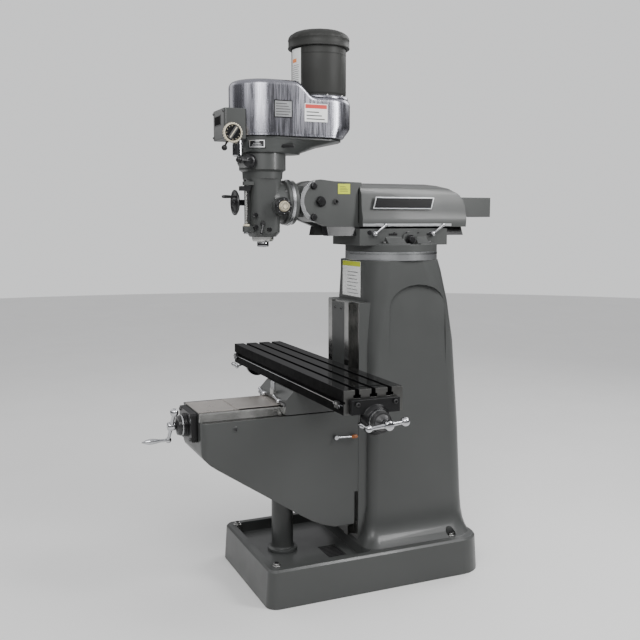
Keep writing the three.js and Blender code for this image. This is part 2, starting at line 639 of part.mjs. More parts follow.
// ---- Quill, spindle and drive ----
const NOSE_BOTTOM = 1372;
function quill() {
  return turned("z", [0, SPINDLE_Y], [[24, 1394], [QUILL_R - 3, 1394], [QUILL_R, 1402], [QUILL_R, 1684],
    [24, 1684], [24, 1394]], 28);
}

// The spindle is drawn in two lengths, so that the tool socket is a plain tube.
const NOSE_TOP = 1440;
function spindleNose() {
  return turned("z", [0, SPINDLE_Y], [[12, NOSE_BOTTOM], [22, NOSE_BOTTOM], [23, NOSE_BOTTOM + 4],
    [23, 1392], [21, 1396], [21, NOSE_TOP], [12, NOSE_TOP], [12, NOSE_BOTTOM]], 20);
}

function spindle() {
  return turned("z", [0, SPINDLE_Y], [[10, NOSE_TOP + GAP], [21, NOSE_TOP + GAP], [21, 1700], [18, 1706],
    [18, 1838], [10, 1838], [10, NOSE_TOP + GAP]], 20);
}

function drawbar() {
  return join(rod("z", [0, SPINDLE_Y], 7, 1480, DRUM_TOP, 12),
    rod("z", [0, SPINDLE_Y], 9, 1839, 1850, 12),
    rod("z", [0, SPINDLE_Y], 10, DRUM_TOP - 6, DRUM_TOP + 10, 6));
}

function spindlePulley() {
  return turned("z", [0, SPINDLE_Y], [[18.6, 1818], [40, 1818], [92, PULLEY_Z - 16], [92, PULLEY_Z - 12],
    [60, PULLEY_Z - 6], [60, PULLEY_Z + 6], [92, PULLEY_Z + 12], [92, PULLEY_Z + 16], [40, 1922],
    [18.6, 1922], [18.6, 1818]], 32);
}

function motorPulley() {
  return turned("z", [0, MOTOR_Y], [[0, 1826], [30, 1826], [76, PULLEY_Z - 16], [76, PULLEY_Z - 12],
    [46, PULLEY_Z - 6], [46, PULLEY_Z + 6], [76, PULLEY_Z + 12], [76, PULLEY_Z + 16], [30, 1912],
    [16, 1914], [16, REAR_TOP - 2], [0, REAR_TOP - 2]], 32);
}

function driveBelt() {
  const outer = prism("z", pearPlan(SPINDLE_Y, 76, MOTOR_Y, 62, 14), PULLEY_Z - 5, PULLEY_Z + 5);
  return cut(outer, prism("z", pearPlan(SPINDLE_Y, 62, MOTOR_Y, 48, 14), PULLEY_Z - 9, PULLEY_Z + 9));
}

// ---- Knee ----
function kneeSide() {
  return [[KNEE_FRONT, KNEE_SHOULDER], [KNEE_FRONT, 592], [-872, 572], [-850, 549], [-820, 527], [-475, 299],
    [-430, 271], [-385, 249], [-330, KNEE_BOTTOM], [KNEE_REAR, KNEE_BOTTOM], [KNEE_REAR, KNEE_SHOULDER]];
}

function kneeCavity() {
  const half = KNEE_HALF - KNEE_WALL;
  const front = KNEE_FRONT + KNEE_WALL;
  return prism("x", [[front, KNEE_SHOULDER - 12], [front, 606], [-836, 572], [-560, 392], [-560, 200],
    [-266, 200],
    [-266, KNEE_SHOULDER - 12]], -half, half);
}

function knee() {
  const plan = roundedPlan({ half: KNEE_HALF, front: KNEE_FRONT, rear: KNEE_REAR, frontR: 26, rearR: 2 });
  const body = prism("x", kneeSide(), -160, 160).intersect(prism("z", plan, 200, 760));
  const ways = prism("y", [[KNEE_SHOULDER - 1, -KNEE_WAY_ROOT], [KNEE_WAY_TOP, -KNEE_WAY_HALF],
    [KNEE_WAY_TOP, KNEE_WAY_HALF], [KNEE_SHOULDER - 1, KNEE_WAY_ROOT]], KNEE_FRONT, KNEE_REAR);
  const shelf = box(-140, 140, -575, -425, 536, 558);
  const pocket = prism("z", [[-WAY_ROOT_HALF - 0.6, -221], [-WAY_FRONT_HALF - 0.6, WAY_FRONT - 0.6],
    [WAY_FRONT_HALF + 0.6, WAY_FRONT - 0.6], [WAY_ROOT_HALF + 0.6, -221]], 180, 780);
  const nutSlot = box(-30, 30, -652, -260, KNEE_SHOULDER - 20, KNEE_WAY_TOP + 5);
  const heelNotches = [-1, 1].map((side) => box(side * 139 - 13, side * 139 + 13, -240, -221, 200, 368));
  return cut(join(cut(body, kneeCavity()), ways, shelf), pocket, nutSlot, ...heelNotches,
    rod("z", [0, LIFT_Y], 16, 500, 600, 16),
    rod("y", [0, CROSS_Z], SCREW_R + 1, KNEE_FRONT - 5, KNEE_FRONT + 40, 16),
    rod("x", [LIFT_Y, LIFT_PINION_Z], 11, -160, -110, 16));
}

function elevatingScrew() {
  const gear = LIFT_PINION_Z - 36;
  return turned("z", [0, LIFT_Y], [[0, 35], [15, 35], [15, 558.3], [20, 558.3], [20, gear], [50, gear],
    [46, gear + 8], [33, gear + 16], [14, gear + 18], [14, gear + 22], [0, gear + 22]], 24);
}

// A two-armed crank in the plane square to its shaft: one arm ends in a ball, the other in a handle.
function ballCrank(axis, at, hub, arms, angle, handle) {
  const turn = (r, s) => {
    const a = THREE.MathUtils.degToRad(angle);
    const [p, q] = [at[0] + r * Math.cos(a), at[1] + r * Math.sin(a)];
    return { x: [s, p, q], y: [p, s, q] }[axis];
  };
  const middle = (hub[0] + hub[1]) / 2;
  const outward = Math.sign(handle) * 8;
  const grip = [turn(-arms.handle, middle + outward), turn(-arms.handle, middle + handle)];
  return join(rod(axis, at, 17, hub[0], hub[1], 18), strut(turn(0, middle), turn(arms.ball, middle), 8, 7),
    ball(turn(arms.ball, middle), 17), strut(turn(0, middle), turn(-arms.handle, middle), 8, 7),
    ball(turn(-arms.handle, middle), 12), strut(grip[0], grip[1], 7, 11), ball(grip[1], 11, 12));
}

const LIFT_CRANK_X = -208;
function elevatingCrank() {
  const at = [LIFT_Y, LIFT_PINION_Z];
  const pinion = turned("x", at, [[0, -60], [26, -60], [22, -46], [12, -40], [0, -40]], 20);
  return join(pinion, rod("x", at, 10, LIFT_CRANK_X - 10, -55, 16),
    ballCrank("x", at, [LIFT_CRANK_X - 16, LIFT_CRANK_X + 14], { ball: 76, handle: 78 }, 60, -90));
}

const BRACKET_FACE = -905;
function crossBracket() {
  const y1 = KNEE_FRONT - GAP;
  const plate = prism("y", [[632, -84], [620, -60], [620, 60], [632, 96], [734, 96], [742, 88],
    [742, -84], [734, -92]], BRACKET_FACE, y1);
  const boss = rod("y", [0, CROSS_Z], 46, BRACKET_FACE - 12, BRACKET_FACE + 2, 24);
  return cut(join(plate, boss), rod("y", [0, CROSS_Z], SCREW_R + 0.5, -930, -870, 16));
}

function crossScrew() {
  const face = BRACKET_FACE - 12 - GAP;
  return turned("y", [0, CROSS_Z], [[0, -943.5], [16, -943.5], [38, face - 16], [41, face - 12], [41, face],
    [SCREW_R, face], [SCREW_R, -290], [0, -290]], 24);
}

function wayCover(y0, y1, z) {
  return box(-100, 100, y0, y1, z, z + 1.6);
}

const KNEE_LOCK = { y: -327, z: 607 };
function kneeLockLever() {
  const x = KNEE_HALF + GAP;
  return join(rod("x", [KNEE_LOCK.y, KNEE_LOCK.z], 10, x, x + 16, 14),
    strut([x + 11, KNEE_LOCK.y, KNEE_LOCK.z], [x + 15, KNEE_LOCK.y + 84, KNEE_LOCK.z - 2], 4, 4),
    ball([x + 15, KNEE_LOCK.y + 86, KNEE_LOCK.z - 2], 8));
}

// ---- Saddle ----
const NUT_Y = { y0: -335, y1: -290 };
function saddle() {
  const front = prism("x", [[SADDLE_FRONT, SADDLE_BOTTOM], [SADDLE_FRONT, 774], [-508, SADDLE_TOP],
    [SADDLE_REAR, SADDLE_TOP], [SADDLE_REAR, SADDLE_BOTTOM]], -SADDLE_HALF, SADDLE_HALF);
  const way = prism("x", [[TABLE_Y - 58, SADDLE_TOP - 1], [TABLE_Y + 58, SADDLE_TOP - 1],
    [TABLE_Y + 72, TABLE_WAY_TOP - 1], [TABLE_Y - 72, TABLE_WAY_TOP - 1]], -SADDLE_HALF, SADDLE_HALF);
  const clear = 0.6;
  const kneeSlot = prism("y", [[SADDLE_BOTTOM - 1, -KNEE_WAY_ROOT - clear - 1.6],
    [KNEE_WAY_TOP + clear, -KNEE_WAY_HALF - clear], [KNEE_WAY_TOP + clear, KNEE_WAY_HALF + clear],
    [SADDLE_BOTTOM - 1, KNEE_WAY_ROOT + clear + 1.6]], SADDLE_FRONT - 5, SADDLE_REAR + 5);
  const relief = box(-104, 104, SADDLE_FRONT - 5, SADDLE_REAR + 5, KNEE_WAY_TOP, 757);
  const channel = box(-SADDLE_HALF - 5, SADDLE_HALF + 5, TABLE_Y - 22, TABLE_Y + 22, 769, TABLE_WAY_TOP + 5);
  const tableNut = box(-40, 40, TABLE_Y - 23, TABLE_Y + 23, 768, 812);
  const crossNut = box(-25, 25, NUT_Y.y0, NUT_Y.y1, CROSS_Z - 18, 760);
  const body = join(cut(join(front, way), kneeSlot, relief, channel), tableNut, crossNut);
  return cut(body, rod("x", [TABLE_Y, FEED_Z], SCREW_R + 0.6, -200, 200, 16),
    rod("y", [0, CROSS_Z], SCREW_R + 0.6, -400, -250, 16));
}

const SADDLE_LOCK_X = { left: -82, right: 88 };
const SADDLE_LOCK_Z = 762.5;
function saddleLockLever(x) {
  const y = SADDLE_FRONT - GAP;
  return join(rod("y", [x, SADDLE_LOCK_Z], 9, y - 14, y, 14),
    strut([x, y - 9, SADDLE_LOCK_Z], [x - 34, y - 13, SADDLE_LOCK_Z + 14], 4.5, 6.5),
    ball([x - 34, y - 13, SADDLE_LOCK_Z + 14], 7, 10));
}

function wayCoverRear() {
  return join(wayCover(-560, -400, 749.8), box(-60, 60, -470, -420, 751, 756.7));
}

// ---- Table ----
function tableSection() {
  const [y0, y1] = [TABLE_Y - TABLE_HALF_WIDTH, TABLE_Y + TABLE_HALF_WIDTH];
  return [[y0, TABLE_BOTTOM], [TABLE_Y - 59.5, TABLE_BOTTOM], [TABLE_Y - 73.5, TABLE_WAY_TOP],
    [TABLE_Y + 73.5, TABLE_WAY_TOP], [TABLE_Y + 59.5, TABLE_BOTTOM], [y1, TABLE_BOTTOM], [y1, TABLE_TOP],
    [y0, TABLE_TOP], [y0, 858], [y0 + 6, 857], [y0 + 6, 850], [y0, 849]];
}

function tSlot(y) {
  const [neck, head] = [SLOT_NECK / 2, SLOT_HEAD / 2];
  return prism("x", [[y - head, 867], [y + head, 867], [y + head, 879], [y + neck, 879],
    [y + neck, TABLE_TOP + 2], [y - neck, TABLE_TOP + 2], [y - neck, 879], [y - head, 879]],
    -TABLE_HALF_LENGTH - 5, TABLE_HALF_LENGTH + 5);
}

function table() {
  const slab = prism("x", tableSection(), -TABLE_HALF_LENGTH, TABLE_HALF_LENGTH);
  const slots = [-1, 0, 1].map((k) => tSlot(TABLE_Y + k * SLOT_PITCH));
  const drains = [-1, 1].map((side) => box(
    side * 566 - 5, side * 566 + 5, TABLE_Y - SLOT_PITCH, TABLE_Y + SLOT_PITCH,
    TABLE_TOP - 7, TABLE_TOP + 2));
  return cut(slab, ...slots, ...drains);
}

const BRACKET_X = 609.6 + GAP;
function tableBracket(side) {
  const wing = box(BRACKET_X, BRACKET_X + 21, TABLE_Y - 94, TABLE_Y + 94, 812, 864);
  const boss = turned("x", [TABLE_Y, FEED_Z], [[0, BRACKET_X], [54, BRACKET_X], [54, BRACKET_X + 21],
    [44, 650], [0, 650]], 28);
  const made = cut(join(wing, boss), rod("x", [TABLE_Y, FEED_Z], SCREW_R + 0.5, 600, 660, 16));
  return side > 0 ? made : made.mirror([1, 0, 0]);
}

function tableScrew() {
  const half = [[SCREW_R, 650 + GAP], [41, 650 + GAP], [41, 664], [37, 682], [17, 699.5], [0, 699.5]];
  const other = half.map(([r, s]) => [r, -s]).reverse();
  return turned("x", [TABLE_Y, FEED_Z], [...other, ...half], 24);
}

const CRANK_X = 719;
function tableCrank(side) {
  const hub = side > 0 ? [CRANK_X - 19, CRANK_X + 17] : [-CRANK_X - 17, -CRANK_X + 19];
  return ballCrank("x", [TABLE_Y, FEED_Z], hub, { ball: 66, handle: 72 }, side > 0 ? 5 : 17, -72);
}

// ---- The machine, piece by piece ----
add("column_base", columnBase(), ENAMEL);
for (const [place, at] of Object.entries(BOLT_PLACES)) {
  add("levelling_bolt_" + place, levellingBolt(at), STEEL);
}
add("column_way_cover", columnWayCover(), ENAMEL);
add("screw_pedestal", pedestal(), ENAMEL);

add("turret", turret(), ENAMEL);
add("turret_ring", turretRing(), ALUMINIUM);
add("ram_lock_lever_front", ramLockLever(RAM_LOCK_Y.front), CHROME);
add("ram_lock_lever_rear", ramLockLever(RAM_LOCK_Y.rear), CHROME);
add("ram_pinion_hub", ramPinionHub(), BLACK);

add("ram", ram(), ENAMEL);
add("ram_rear_bracket", ramRearBracket(), ENAMEL);
add("knuckle_pivot_bolt", pivotBolt(), BLACK);
add("knuckle_lock_bolt_upper", knuckleLockBolt(NOD_Z + 61), BLACK);
add("knuckle_lock_bolt_lower", knuckleLockBolt(NOD_Z - 62), BLACK);
add("ram_adapter", ramAdapter(), ENAMEL);
add("tilt_ring", tiltRing(), ALUMINIUM);

add("head_casting", headCasting(), ENAMEL);
add("gear_housing", gearHousing(), DARK_ENAMEL);
add("belt_housing", beltHousing(), ALUMINIUM);
add("motor", motor(), DARK_ENAMEL);
add("motor_cap", motorCap(), DARK_ENAMEL);
add("speed_box", speedBox(), ENAMEL);
add("speed_dial", speedDial(), BLACK);
add("brake_lever", brakeLever(), BLACK);
add("shift_plunger", shiftPlunger(), CHROME);
add("high_low_lever", highLowLever(), BLACK);
add("quill_lock_lever", quillLockLever(), BLACK);
add("quill_feed_hub", feedHub(), BLACK);
add("feed_handwheel", feedWheel(), BLACK);
add("quill_stop_rod", quillStopRod(), CHROME);
add("quill_stop_block", quillStopBlock(), BLACK);
add("quill", quill(), STEEL);
add("spindle", spindle(), STEEL);
add("spindle_nose", spindleNose(), STEEL);
add("drawbar", drawbar(), STEEL);
add("spindle_pulley", spindlePulley(), GROUND_IRON);
add("motor_pulley", motorPulley(), GROUND_IRON);
add("drive_belt", driveBelt(), BLACK_RUBBER);

add("knee", knee(), ENAMEL);
add("elevating_screw", elevatingScrew(), STEEL);
add("elevating_crank", elevatingCrank(), CHROME);
add("cross_bracket", crossBracket(), BLACK);
add("cross_screw", crossScrew(), BLACK);
add("cross_crank", ballCrank("y", [0, CROSS_Z], [-976, -944], { ball: 84, handle: 88 }, 51, -95), CHROME);
add("way_cover_front", wayCover(-878, -715, 745.3), STEEL);
add("way_cover_middle", wayCover(-725, -550, 747.5), STEEL);
add("way_cover_rear", wayCoverRear(), STEEL);
add("knee_lock_lever", kneeLockLever(), CHROME);

add("saddle", saddle(), ENAMEL);
add("saddle_lock_lever_left", saddleLockLever(SADDLE_LOCK_X.left), CHROME);
add("saddle_lock_lever_right", saddleLockLever(SADDLE_LOCK_X.right), CHROME);
add("table", table(), GROUND_IRON);
add("table_bracket_left", tableBracket(-1), BLACK);
add("table_bracket_right", tableBracket(1), BLACK);
add("table_screw", tableScrew(), BLACK);
add("table_crank_left", tableCrank(-1), CHROME);
add("table_crank_right", tableCrank(1), CHROME);

export default machine;
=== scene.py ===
"""A floor-standing turret milling machine, dressed on its CAD frame. Metres, +Z up, operator at -Y."""
import json
import math
import random

import bmesh
import bpy
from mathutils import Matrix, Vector

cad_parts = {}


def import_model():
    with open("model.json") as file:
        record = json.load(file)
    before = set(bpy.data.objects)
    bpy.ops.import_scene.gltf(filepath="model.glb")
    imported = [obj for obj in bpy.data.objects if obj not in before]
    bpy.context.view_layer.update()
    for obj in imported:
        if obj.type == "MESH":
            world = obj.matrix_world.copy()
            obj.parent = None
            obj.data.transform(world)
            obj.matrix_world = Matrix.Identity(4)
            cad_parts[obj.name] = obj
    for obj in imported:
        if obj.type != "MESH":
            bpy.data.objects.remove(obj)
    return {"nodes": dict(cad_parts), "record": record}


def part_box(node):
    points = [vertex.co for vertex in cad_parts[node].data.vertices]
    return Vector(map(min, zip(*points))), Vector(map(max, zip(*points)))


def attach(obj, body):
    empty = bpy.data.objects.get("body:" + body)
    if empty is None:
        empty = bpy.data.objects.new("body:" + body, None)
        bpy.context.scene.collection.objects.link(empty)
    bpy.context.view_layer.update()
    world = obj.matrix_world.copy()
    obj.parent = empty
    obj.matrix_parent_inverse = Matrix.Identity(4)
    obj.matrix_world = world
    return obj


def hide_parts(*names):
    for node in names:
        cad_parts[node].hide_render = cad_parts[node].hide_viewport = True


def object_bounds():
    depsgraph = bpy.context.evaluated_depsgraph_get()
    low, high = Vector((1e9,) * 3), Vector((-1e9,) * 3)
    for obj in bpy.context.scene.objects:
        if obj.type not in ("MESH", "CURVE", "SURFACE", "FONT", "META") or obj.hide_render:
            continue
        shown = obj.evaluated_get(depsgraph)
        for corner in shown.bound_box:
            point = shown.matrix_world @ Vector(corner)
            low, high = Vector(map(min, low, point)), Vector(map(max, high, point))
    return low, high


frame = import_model()
CAD_BOX = [list(corner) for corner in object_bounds()]
BODY_OF = {node: body for body, nodes in frame["record"]["behaviour"]["bodies"].items() for node in nodes}
JOINTS = {joint["name"]: joint for joint in frame["record"]["behaviour"]["joints"]}
random.seed(7)
TAU = 2 * math.pi
FRONT_DRUM, REAR_DRUM = 0.131, 0.127  # radii of the belt guard's two drums
DIAL_RADIUS = 0.0402

# ---------------------------------------------------------------- camera, light and floor
AZIMUTH = math.radians(66.54)
PITCH = math.radians(6.72)
CAMERA_PLACE = (3.190, -1.713, 1.477)
LENS_MM = 47.6


def camera():
    data = bpy.data.cameras.new("camera")
    data.lens = LENS_MM
    data.sensor_width = 36
    data.clip_end = 100
    cam = bpy.data.objects.new("camera", data)
    cam.location = CAMERA_PLACE
    ahead = Vector((-math.sin(AZIMUTH) * math.cos(PITCH), math.cos(AZIMUTH) * math.cos(PITCH),
        -math.sin(PITCH)))
    cam.rotation_euler = ahead.to_track_quat("-Z", "Y").to_euler()
    bpy.context.collection.objects.link(cam)
    bpy.context.scene.camera = cam


def area_light(name, place, target, size, power, colour=(1, 1, 1)):
    data = bpy.data.lights.new(name, "AREA")
    data.shape = "RECTANGLE"
    data.size, data.size_y = size
    data.energy = power
    data.color = colour
    lamp = bpy.data.objects.new(name, data)
    lamp.location = place
    lamp.rotation_euler = (Vector(target) - Vector(place)).to_track_quat("-Z", "Y").to_euler()
    bpy.context.collection.objects.link(lamp)


def world():
    sky = bpy.data.worlds.new("studio")
    bpy.context.scene.world = sky
    sky.use_nodes = True
    nodes, links = sky.node_tree.nodes, sky.node_tree.links
    nodes.clear()
    out = nodes.new("ShaderNodeOutputWorld")
    ground = nodes.new("ShaderNodeBackground")
    room = nodes.new("ShaderNodeBackground")
    mix = nodes.new("ShaderNodeMixShader")
    rays = nodes.new("ShaderNodeLightPath")
    coord = nodes.new("ShaderNodeTexCoord")
    split = nodes.new("ShaderNodeSeparateXYZ")
    links.new(coord.outputs["Generated"], split.inputs[0])
    greys = ((0.0, 0.04), (0.1, 0.07), (0.3, 0.34), (0.55, 0.85), (1.0, 1.0))
    stops = [(place, (grey, grey, grey * 1.02)) for place, grey in greys]
    links.new(ramped(nodes, links, split.outputs["Z"], stops), room.inputs["Color"])
    room.inputs["Strength"].default_value = 1.0
    ground.inputs["Color"].default_value = (0.9, 0.905, 0.91, 1)
    ground.inputs["Strength"].default_value = 1.05
    links.new(rays.outputs["Is Camera Ray"], mix.inputs[0])
    links.new(room.outputs[0], mix.inputs[1])
    links.new(ground.outputs[0], mix.inputs[2])
    links.new(mix.outputs[0], out.inputs[0])


# ---------------------------------------------------------------- materials
def new_material(name):
    made = bpy.data.materials.new(name)
    made.use_nodes = True
    shader = made.node_tree.nodes["Principled BSDF"]
    return made, made.node_tree.nodes, made.node_tree.links, shader


def noise(nodes, links, scale, detail=4.0, stretch=None):
    coord = nodes.new("ShaderNodeTexCoord")
    texture = nodes.new("ShaderNodeTexNoise")
    texture.inputs["Scale"].default_value = scale
    texture.inputs["Detail"].default_value = detail
    if stretch:
        mapping = nodes.new("ShaderNodeMapping")
        mapping.inputs["Scale"].default_value = stretch
        links.new(coord.outputs["Object"], mapping.inputs["Vector"])
        links.new(mapping.outputs[0], texture.inputs["Vector"])
    else:
        links.new(coord.outputs["Object"], texture.inputs["Vector"])
    return texture.outputs["Fac"]


def ramped(nodes, links, source, stops):
    ramp = nodes.new("ShaderNodeValToRGB")
    elements = ramp.color_ramp.elements
    while len(elements) < len(stops):
        elements.new(0.5)
    for element, (place, colour) in zip(elements, stops):
        element.position = place
        element.color = (*colour, 1)
    links.new(source, ramp.inputs[0])
    return ramp.outputs[0]


def ranged(nodes, links, source, low, high, start=0.35, stop=0.65):
    mapped = nodes.new("ShaderNodeMapRange")
    for key, value in (("From Min", start), ("From Max", stop), ("To Min", low), ("To Max", high)):
        mapped.inputs[key].default_value = value
    links.new(source, mapped.inputs["Value"])
    return mapped.outputs[0]


def bumped(nodes, links, shader, source, strength, distance):
    bump = nodes.new("ShaderNodeBump")
    bump.inputs["Strength"].default_value = strength
    bump.inputs["Distance"].default_value = distance
    links.new(source, bump.inputs["Height"])
    links.new(bump.outputs[0], shader.inputs["Normal"])


def shade(colour, factor):
    return tuple(min(1.0, c * factor) for c in colour)


def surface(name, colour, rough, metal=0.0, vary=0.12, patch=6.0, grain=420.0, relief=0.12, depth=0.0002,
        coat=0.0, stretch=None, worn=None, shine=0.5):
    """Colour that drifts over the surface, roughness that follows it, relief and optional worn edges."""
    made, nodes, links, shader = new_material(name)
    drift = noise(nodes, links, patch, 6.0)
    base = ramped(nodes, links, drift, ((0.3, shade(colour, 1 - vary)), (0.7, shade(colour, 1 + vary))))
    if worn:
        geometry = nodes.new("ShaderNodeNewGeometry")
        edge = ranged(nodes, links, geometry.outputs["Pointiness"], 0, 1, 0.54, 0.62)
        blend = nodes.new("ShaderNodeMix")
        blend.data_type = "RGBA"
        links.new(edge, blend.inputs["Factor"])
        links.new(base, blend.inputs["A"])
        blend.inputs["B"].default_value = (*worn, 1)
        base = blend.outputs["Result"]
    links.new(base, shader.inputs["Base Color"])
    shader.inputs["Metallic"].default_value = metal
    shader.inputs["Specular IOR Level"].default_value = shine
    shader.inputs["Coat Weight"].default_value = coat
    shader.inputs["Coat Roughness"].default_value = 0.08
    fine = noise(nodes, links, grain, 3.0, stretch)
    smear = noise(nodes, links, patch * 5, 5.0, stretch)
    links.new(ranged(nodes, links, smear, rough * 0.88, rough * 1.14, 0.25, 0.75),
        shader.inputs["Roughness"])
    bumped(nodes, links, shader, fine, relief, depth)
    return made


def polished_casting(name, colour):
    """Hand-polished aluminium: soft waves that break up long reflections, with faint polishing scratches."""
    made, nodes, links, shader = new_material(name)
    wave = noise(nodes, links, 9.0, 2.0, (1.0, 1.0, 0.25))
    scratch = noise(nodes, links, 160.0, 4.0, (1.0, 1.0, 0.06))
    links.new(ramped(nodes, links, wave, ((0.3, shade(colour, 0.82)), (0.7, colour))),
        shader.inputs["Base Color"])
    shader.inputs["Metallic"].default_value = 1.0
    links.new(ranged(nodes, links, scratch, 0.2, 0.34), shader.inputs["Roughness"])
    total = nodes.new("ShaderNodeMath")
    total.operation = "MULTIPLY_ADD"
    links.new(scratch, total.inputs[0])
    total.inputs[1].default_value = 0.05
    links.new(wave, total.inputs[2])
    bumped(nodes, links, shader, total.outputs[0], 0.5, 0.006)
    return made


ENAMEL = surface("grey_enamel", (0.052, 0.0545, 0.053), 0.36, vary=0.07, patch=2.2, grain=90.0, relief=0.16,
    depth=0.0006, coat=0.12, shine=0.4)
GEAR_GREY = surface("gear_case_enamel", (0.05, 0.0535, 0.052), 0.34, vary=0.08, patch=5.0, grain=120.0,
    relief=0.16, depth=0.0005, coat=0.2, shine=0.4)
MOTOR_GREY = surface("motor_enamel", (0.026, 0.0265, 0.025), 0.5, vary=0.12, patch=4.0, grain=260.0,
    relief=0.2, shine=0.2)
BLACK = surface("black_oxide", (0.011, 0.011, 0.012), 0.3, metal=0.35, vary=0.3, patch=14.0, grain=500.0,
    worn=(0.09, 0.09, 0.09))
# Black paint; also painted shade, coloured onto the ram's dovetail foot and onto black patches for the
# breather and turret slots.
BLACK_PAINT_AND_SHADE = surface("black_paint_and_shade", (0.006, 0.006, 0.0065), 0.3, vary=0.2, patch=5.0, grain=130.0,
    relief=0.2, depth=0.0004, coat=0.08, shine=0.3)
STEEL = surface("turned_steel", (0.46, 0.46, 0.45), 0.26, metal=1.0, vary=0.1, patch=16.0, grain=500.0,
    stretch=(1.0, 1.0, 9.0))
CHROME = surface("chrome", (0.5, 0.505, 0.52), 0.07, metal=1.0, vary=0.05, patch=9.0, grain=300.0,
    relief=0.03)
SATIN = surface("satin_aluminium", (0.58, 0.59, 0.6), 0.3, metal=1.0, vary=0.06, patch=12.0, grain=420.0,
    stretch=(1.0, 1.0, 12.0))
GROUND = surface("ground_way", (0.42, 0.42, 0.41), 0.2, metal=1.0, vary=0.16, patch=18.0, grain=300.0,
    relief=0.2, stretch=(1.0, 6.0, 1.0))
# A darker ground metal, used on the table's end faces.
DARK_WAY_METAL = surface("dark_way_metal", (0.13, 0.13, 0.125), 0.34, metal=1.0, vary=0.2, patch=12.0, grain=300.0,
    relief=0.2)
TABLE_BLACK = surface("table_black", (0.003, 0.003, 0.0032), 0.5, vary=0.25, patch=6.0, grain=240.0,
    relief=0.14, shine=0.03)
SHEET = surface("sheet_steel", (0.5, 0.47, 0.44), 0.3, metal=0.7, vary=0.08, patch=5.0, grain=60.0,
    relief=0.05)
TABLE_TOP = surface("ground_table", (0.04, 0.04, 0.043), 0.09, metal=1.0, vary=0.18, patch=7.0, grain=260.0,
    relief=0.12, stretch=(0.15, 3.0, 1.0))
ALUMINIUM = polished_casting("polished_aluminium", (0.3, 0.3, 0.335))
RUBBER = surface("belt_rubber", (0.02, 0.02, 0.02), 0.7, vary=0.3, patch=30.0, grain=600.0)
CREAM = surface("cream_paint", (0.55, 0.5, 0.38), 0.4, vary=0.08, patch=30.0, grain=400.0)
WHITE = surface("white_label", (0.72, 0.73, 0.72), 0.45, vary=0.04, patch=30.0, grain=300.0)
YELLOW = surface("yellow_label", (0.46, 0.52, 0.015), 0.4, vary=0.05, patch=30.0, grain=300.0)
ORANGE = surface("orange_label", (0.75, 0.2, 0.03), 0.4, vary=0.05, patch=30.0, grain=300.0)
RED = surface("red_label", (0.5, 0.04, 0.03), 0.4, vary=0.05, patch=30.0, grain=300.0)
AMBER = surface("amber_plastic", (0.3, 0.09, 0.02), 0.35, vary=0.15, patch=60.0, grain=300.0)
FLOOR = surface("studio_floor", (0.8, 0.8, 0.79), 0.55, vary=0.015, patch=0.6, grain=60.0, relief=0.05)


# ---------------------------------------------------------------- shapes
# Each shape is (vertices, faces), in metres.
def along(axis, radius, angle, s, at):
    """The point at an angle round an axis through `at`; s is the coordinate along the axis."""
    c, n = radius * math.cos(angle), radius * math.sin(angle)
    return {"x": (s, at[0] + c, at[1] + n), "y": (at[0] + c, s, at[1] + n),
        "z": (at[0] + c, at[1] + n, s)}[axis]


def lathe(axis, at, profile, segments=64, shape=None):
    """A turned shape. shape(angle, index) gives a factor on the radius, for knurls and scallops."""
    verts, faces, rings = [], [], []
    for index, (radius, s) in enumerate(profile):
        if radius < 1e-7:
            rings.append([len(verts)] * segments)
            verts.append(along(axis, 0, 0, s, at))
            continue
        ring = []
        for k in range(segments):
            angle = TAU * k / segments
            ring.append(len(verts))
            verts.append(along(axis, radius * (shape(angle, index) if shape else 1), angle, s, at))
        rings.append(ring)
    for low, high in zip(rings, rings[1:]):
        for k in range(segments):
            n = (k + 1) % segments
            face = list(dict.fromkeys((low[k], low[n], high[n], high[k])))
            if len(face) > 2:
                faces.append(face)
    for ring in (rings[0], rings[-1]):
        if len(set(ring)) > 1 and profile[0] != profile[-1]:
            faces.append(list(ring))
    return verts, faces


def rod(axis, at, radius, low, high, segments=32):
    """A plain round bar."""
    return lathe(axis, at, [(0, low), (radius, low), (radius, high), (0, high)], segments)


def raised(base, points):
    """Profile points whose second number is counted from a base along the axis."""
    return [(radius, base + s) for radius, s in points]


def polar(at, radius, angle):
    """The point at an angle on a circle."""
    return at[0] + radius * math.cos(angle), at[1] + radius * math.sin(angle)


def block(lo, hi):
    xs, ys, zs = zip(lo, hi)
    verts = [(x, y, z) for x in xs for y in ys for z in zs]
    faces = [(0, 1, 3, 2), (4, 6, 7, 5), (0, 4, 5, 1), (2, 3, 7, 6), (0, 2, 6, 4), (1, 5, 7, 3)]
    return verts, faces


def limb(path, radii, segments=20):
    """A round bar through points, with a radius at each."""
    points = [Vector(p) for p in path]
    side = (points[-1] - points[0]).orthogonal().normalized()
    verts, faces = [], []
    for i, point in enumerate(points):
        way = (points[min(i + 1, len(points) - 1)] - points[max(i - 1, 0)]).normalized()
        u = (side - way * side.dot(way)).normalized()
        v = way.cross(u)
        for k in range(segments):
            angle = TAU * k / segments
            verts.append(tuple(point + radii[i] * (u * math.cos(angle) + v * math.sin(angle))))
    for i in range(len(points) - 1):
        for k in range(segments):
            a, b = i * segments + k, i * segments + (k + 1) % segments
            faces.append((a, b, b + segments, a + segments))
    last = (len(points) - 1) * segments
    return verts, faces + [tuple(range(segments)), tuple(range(last, last + segments))]


def ball(centre, radius, segments=28):
    profile = [(radius * math.sin(a), centre[2] - radius * math.cos(a))
        for a in (math.pi * k / (segments // 2) for k in range(segments // 2 + 1))]
    profile[0], profile[-1] = (0, profile[0][1]), (0, profile[-1][1])
    return lathe("z", centre[:2], profile, segments)


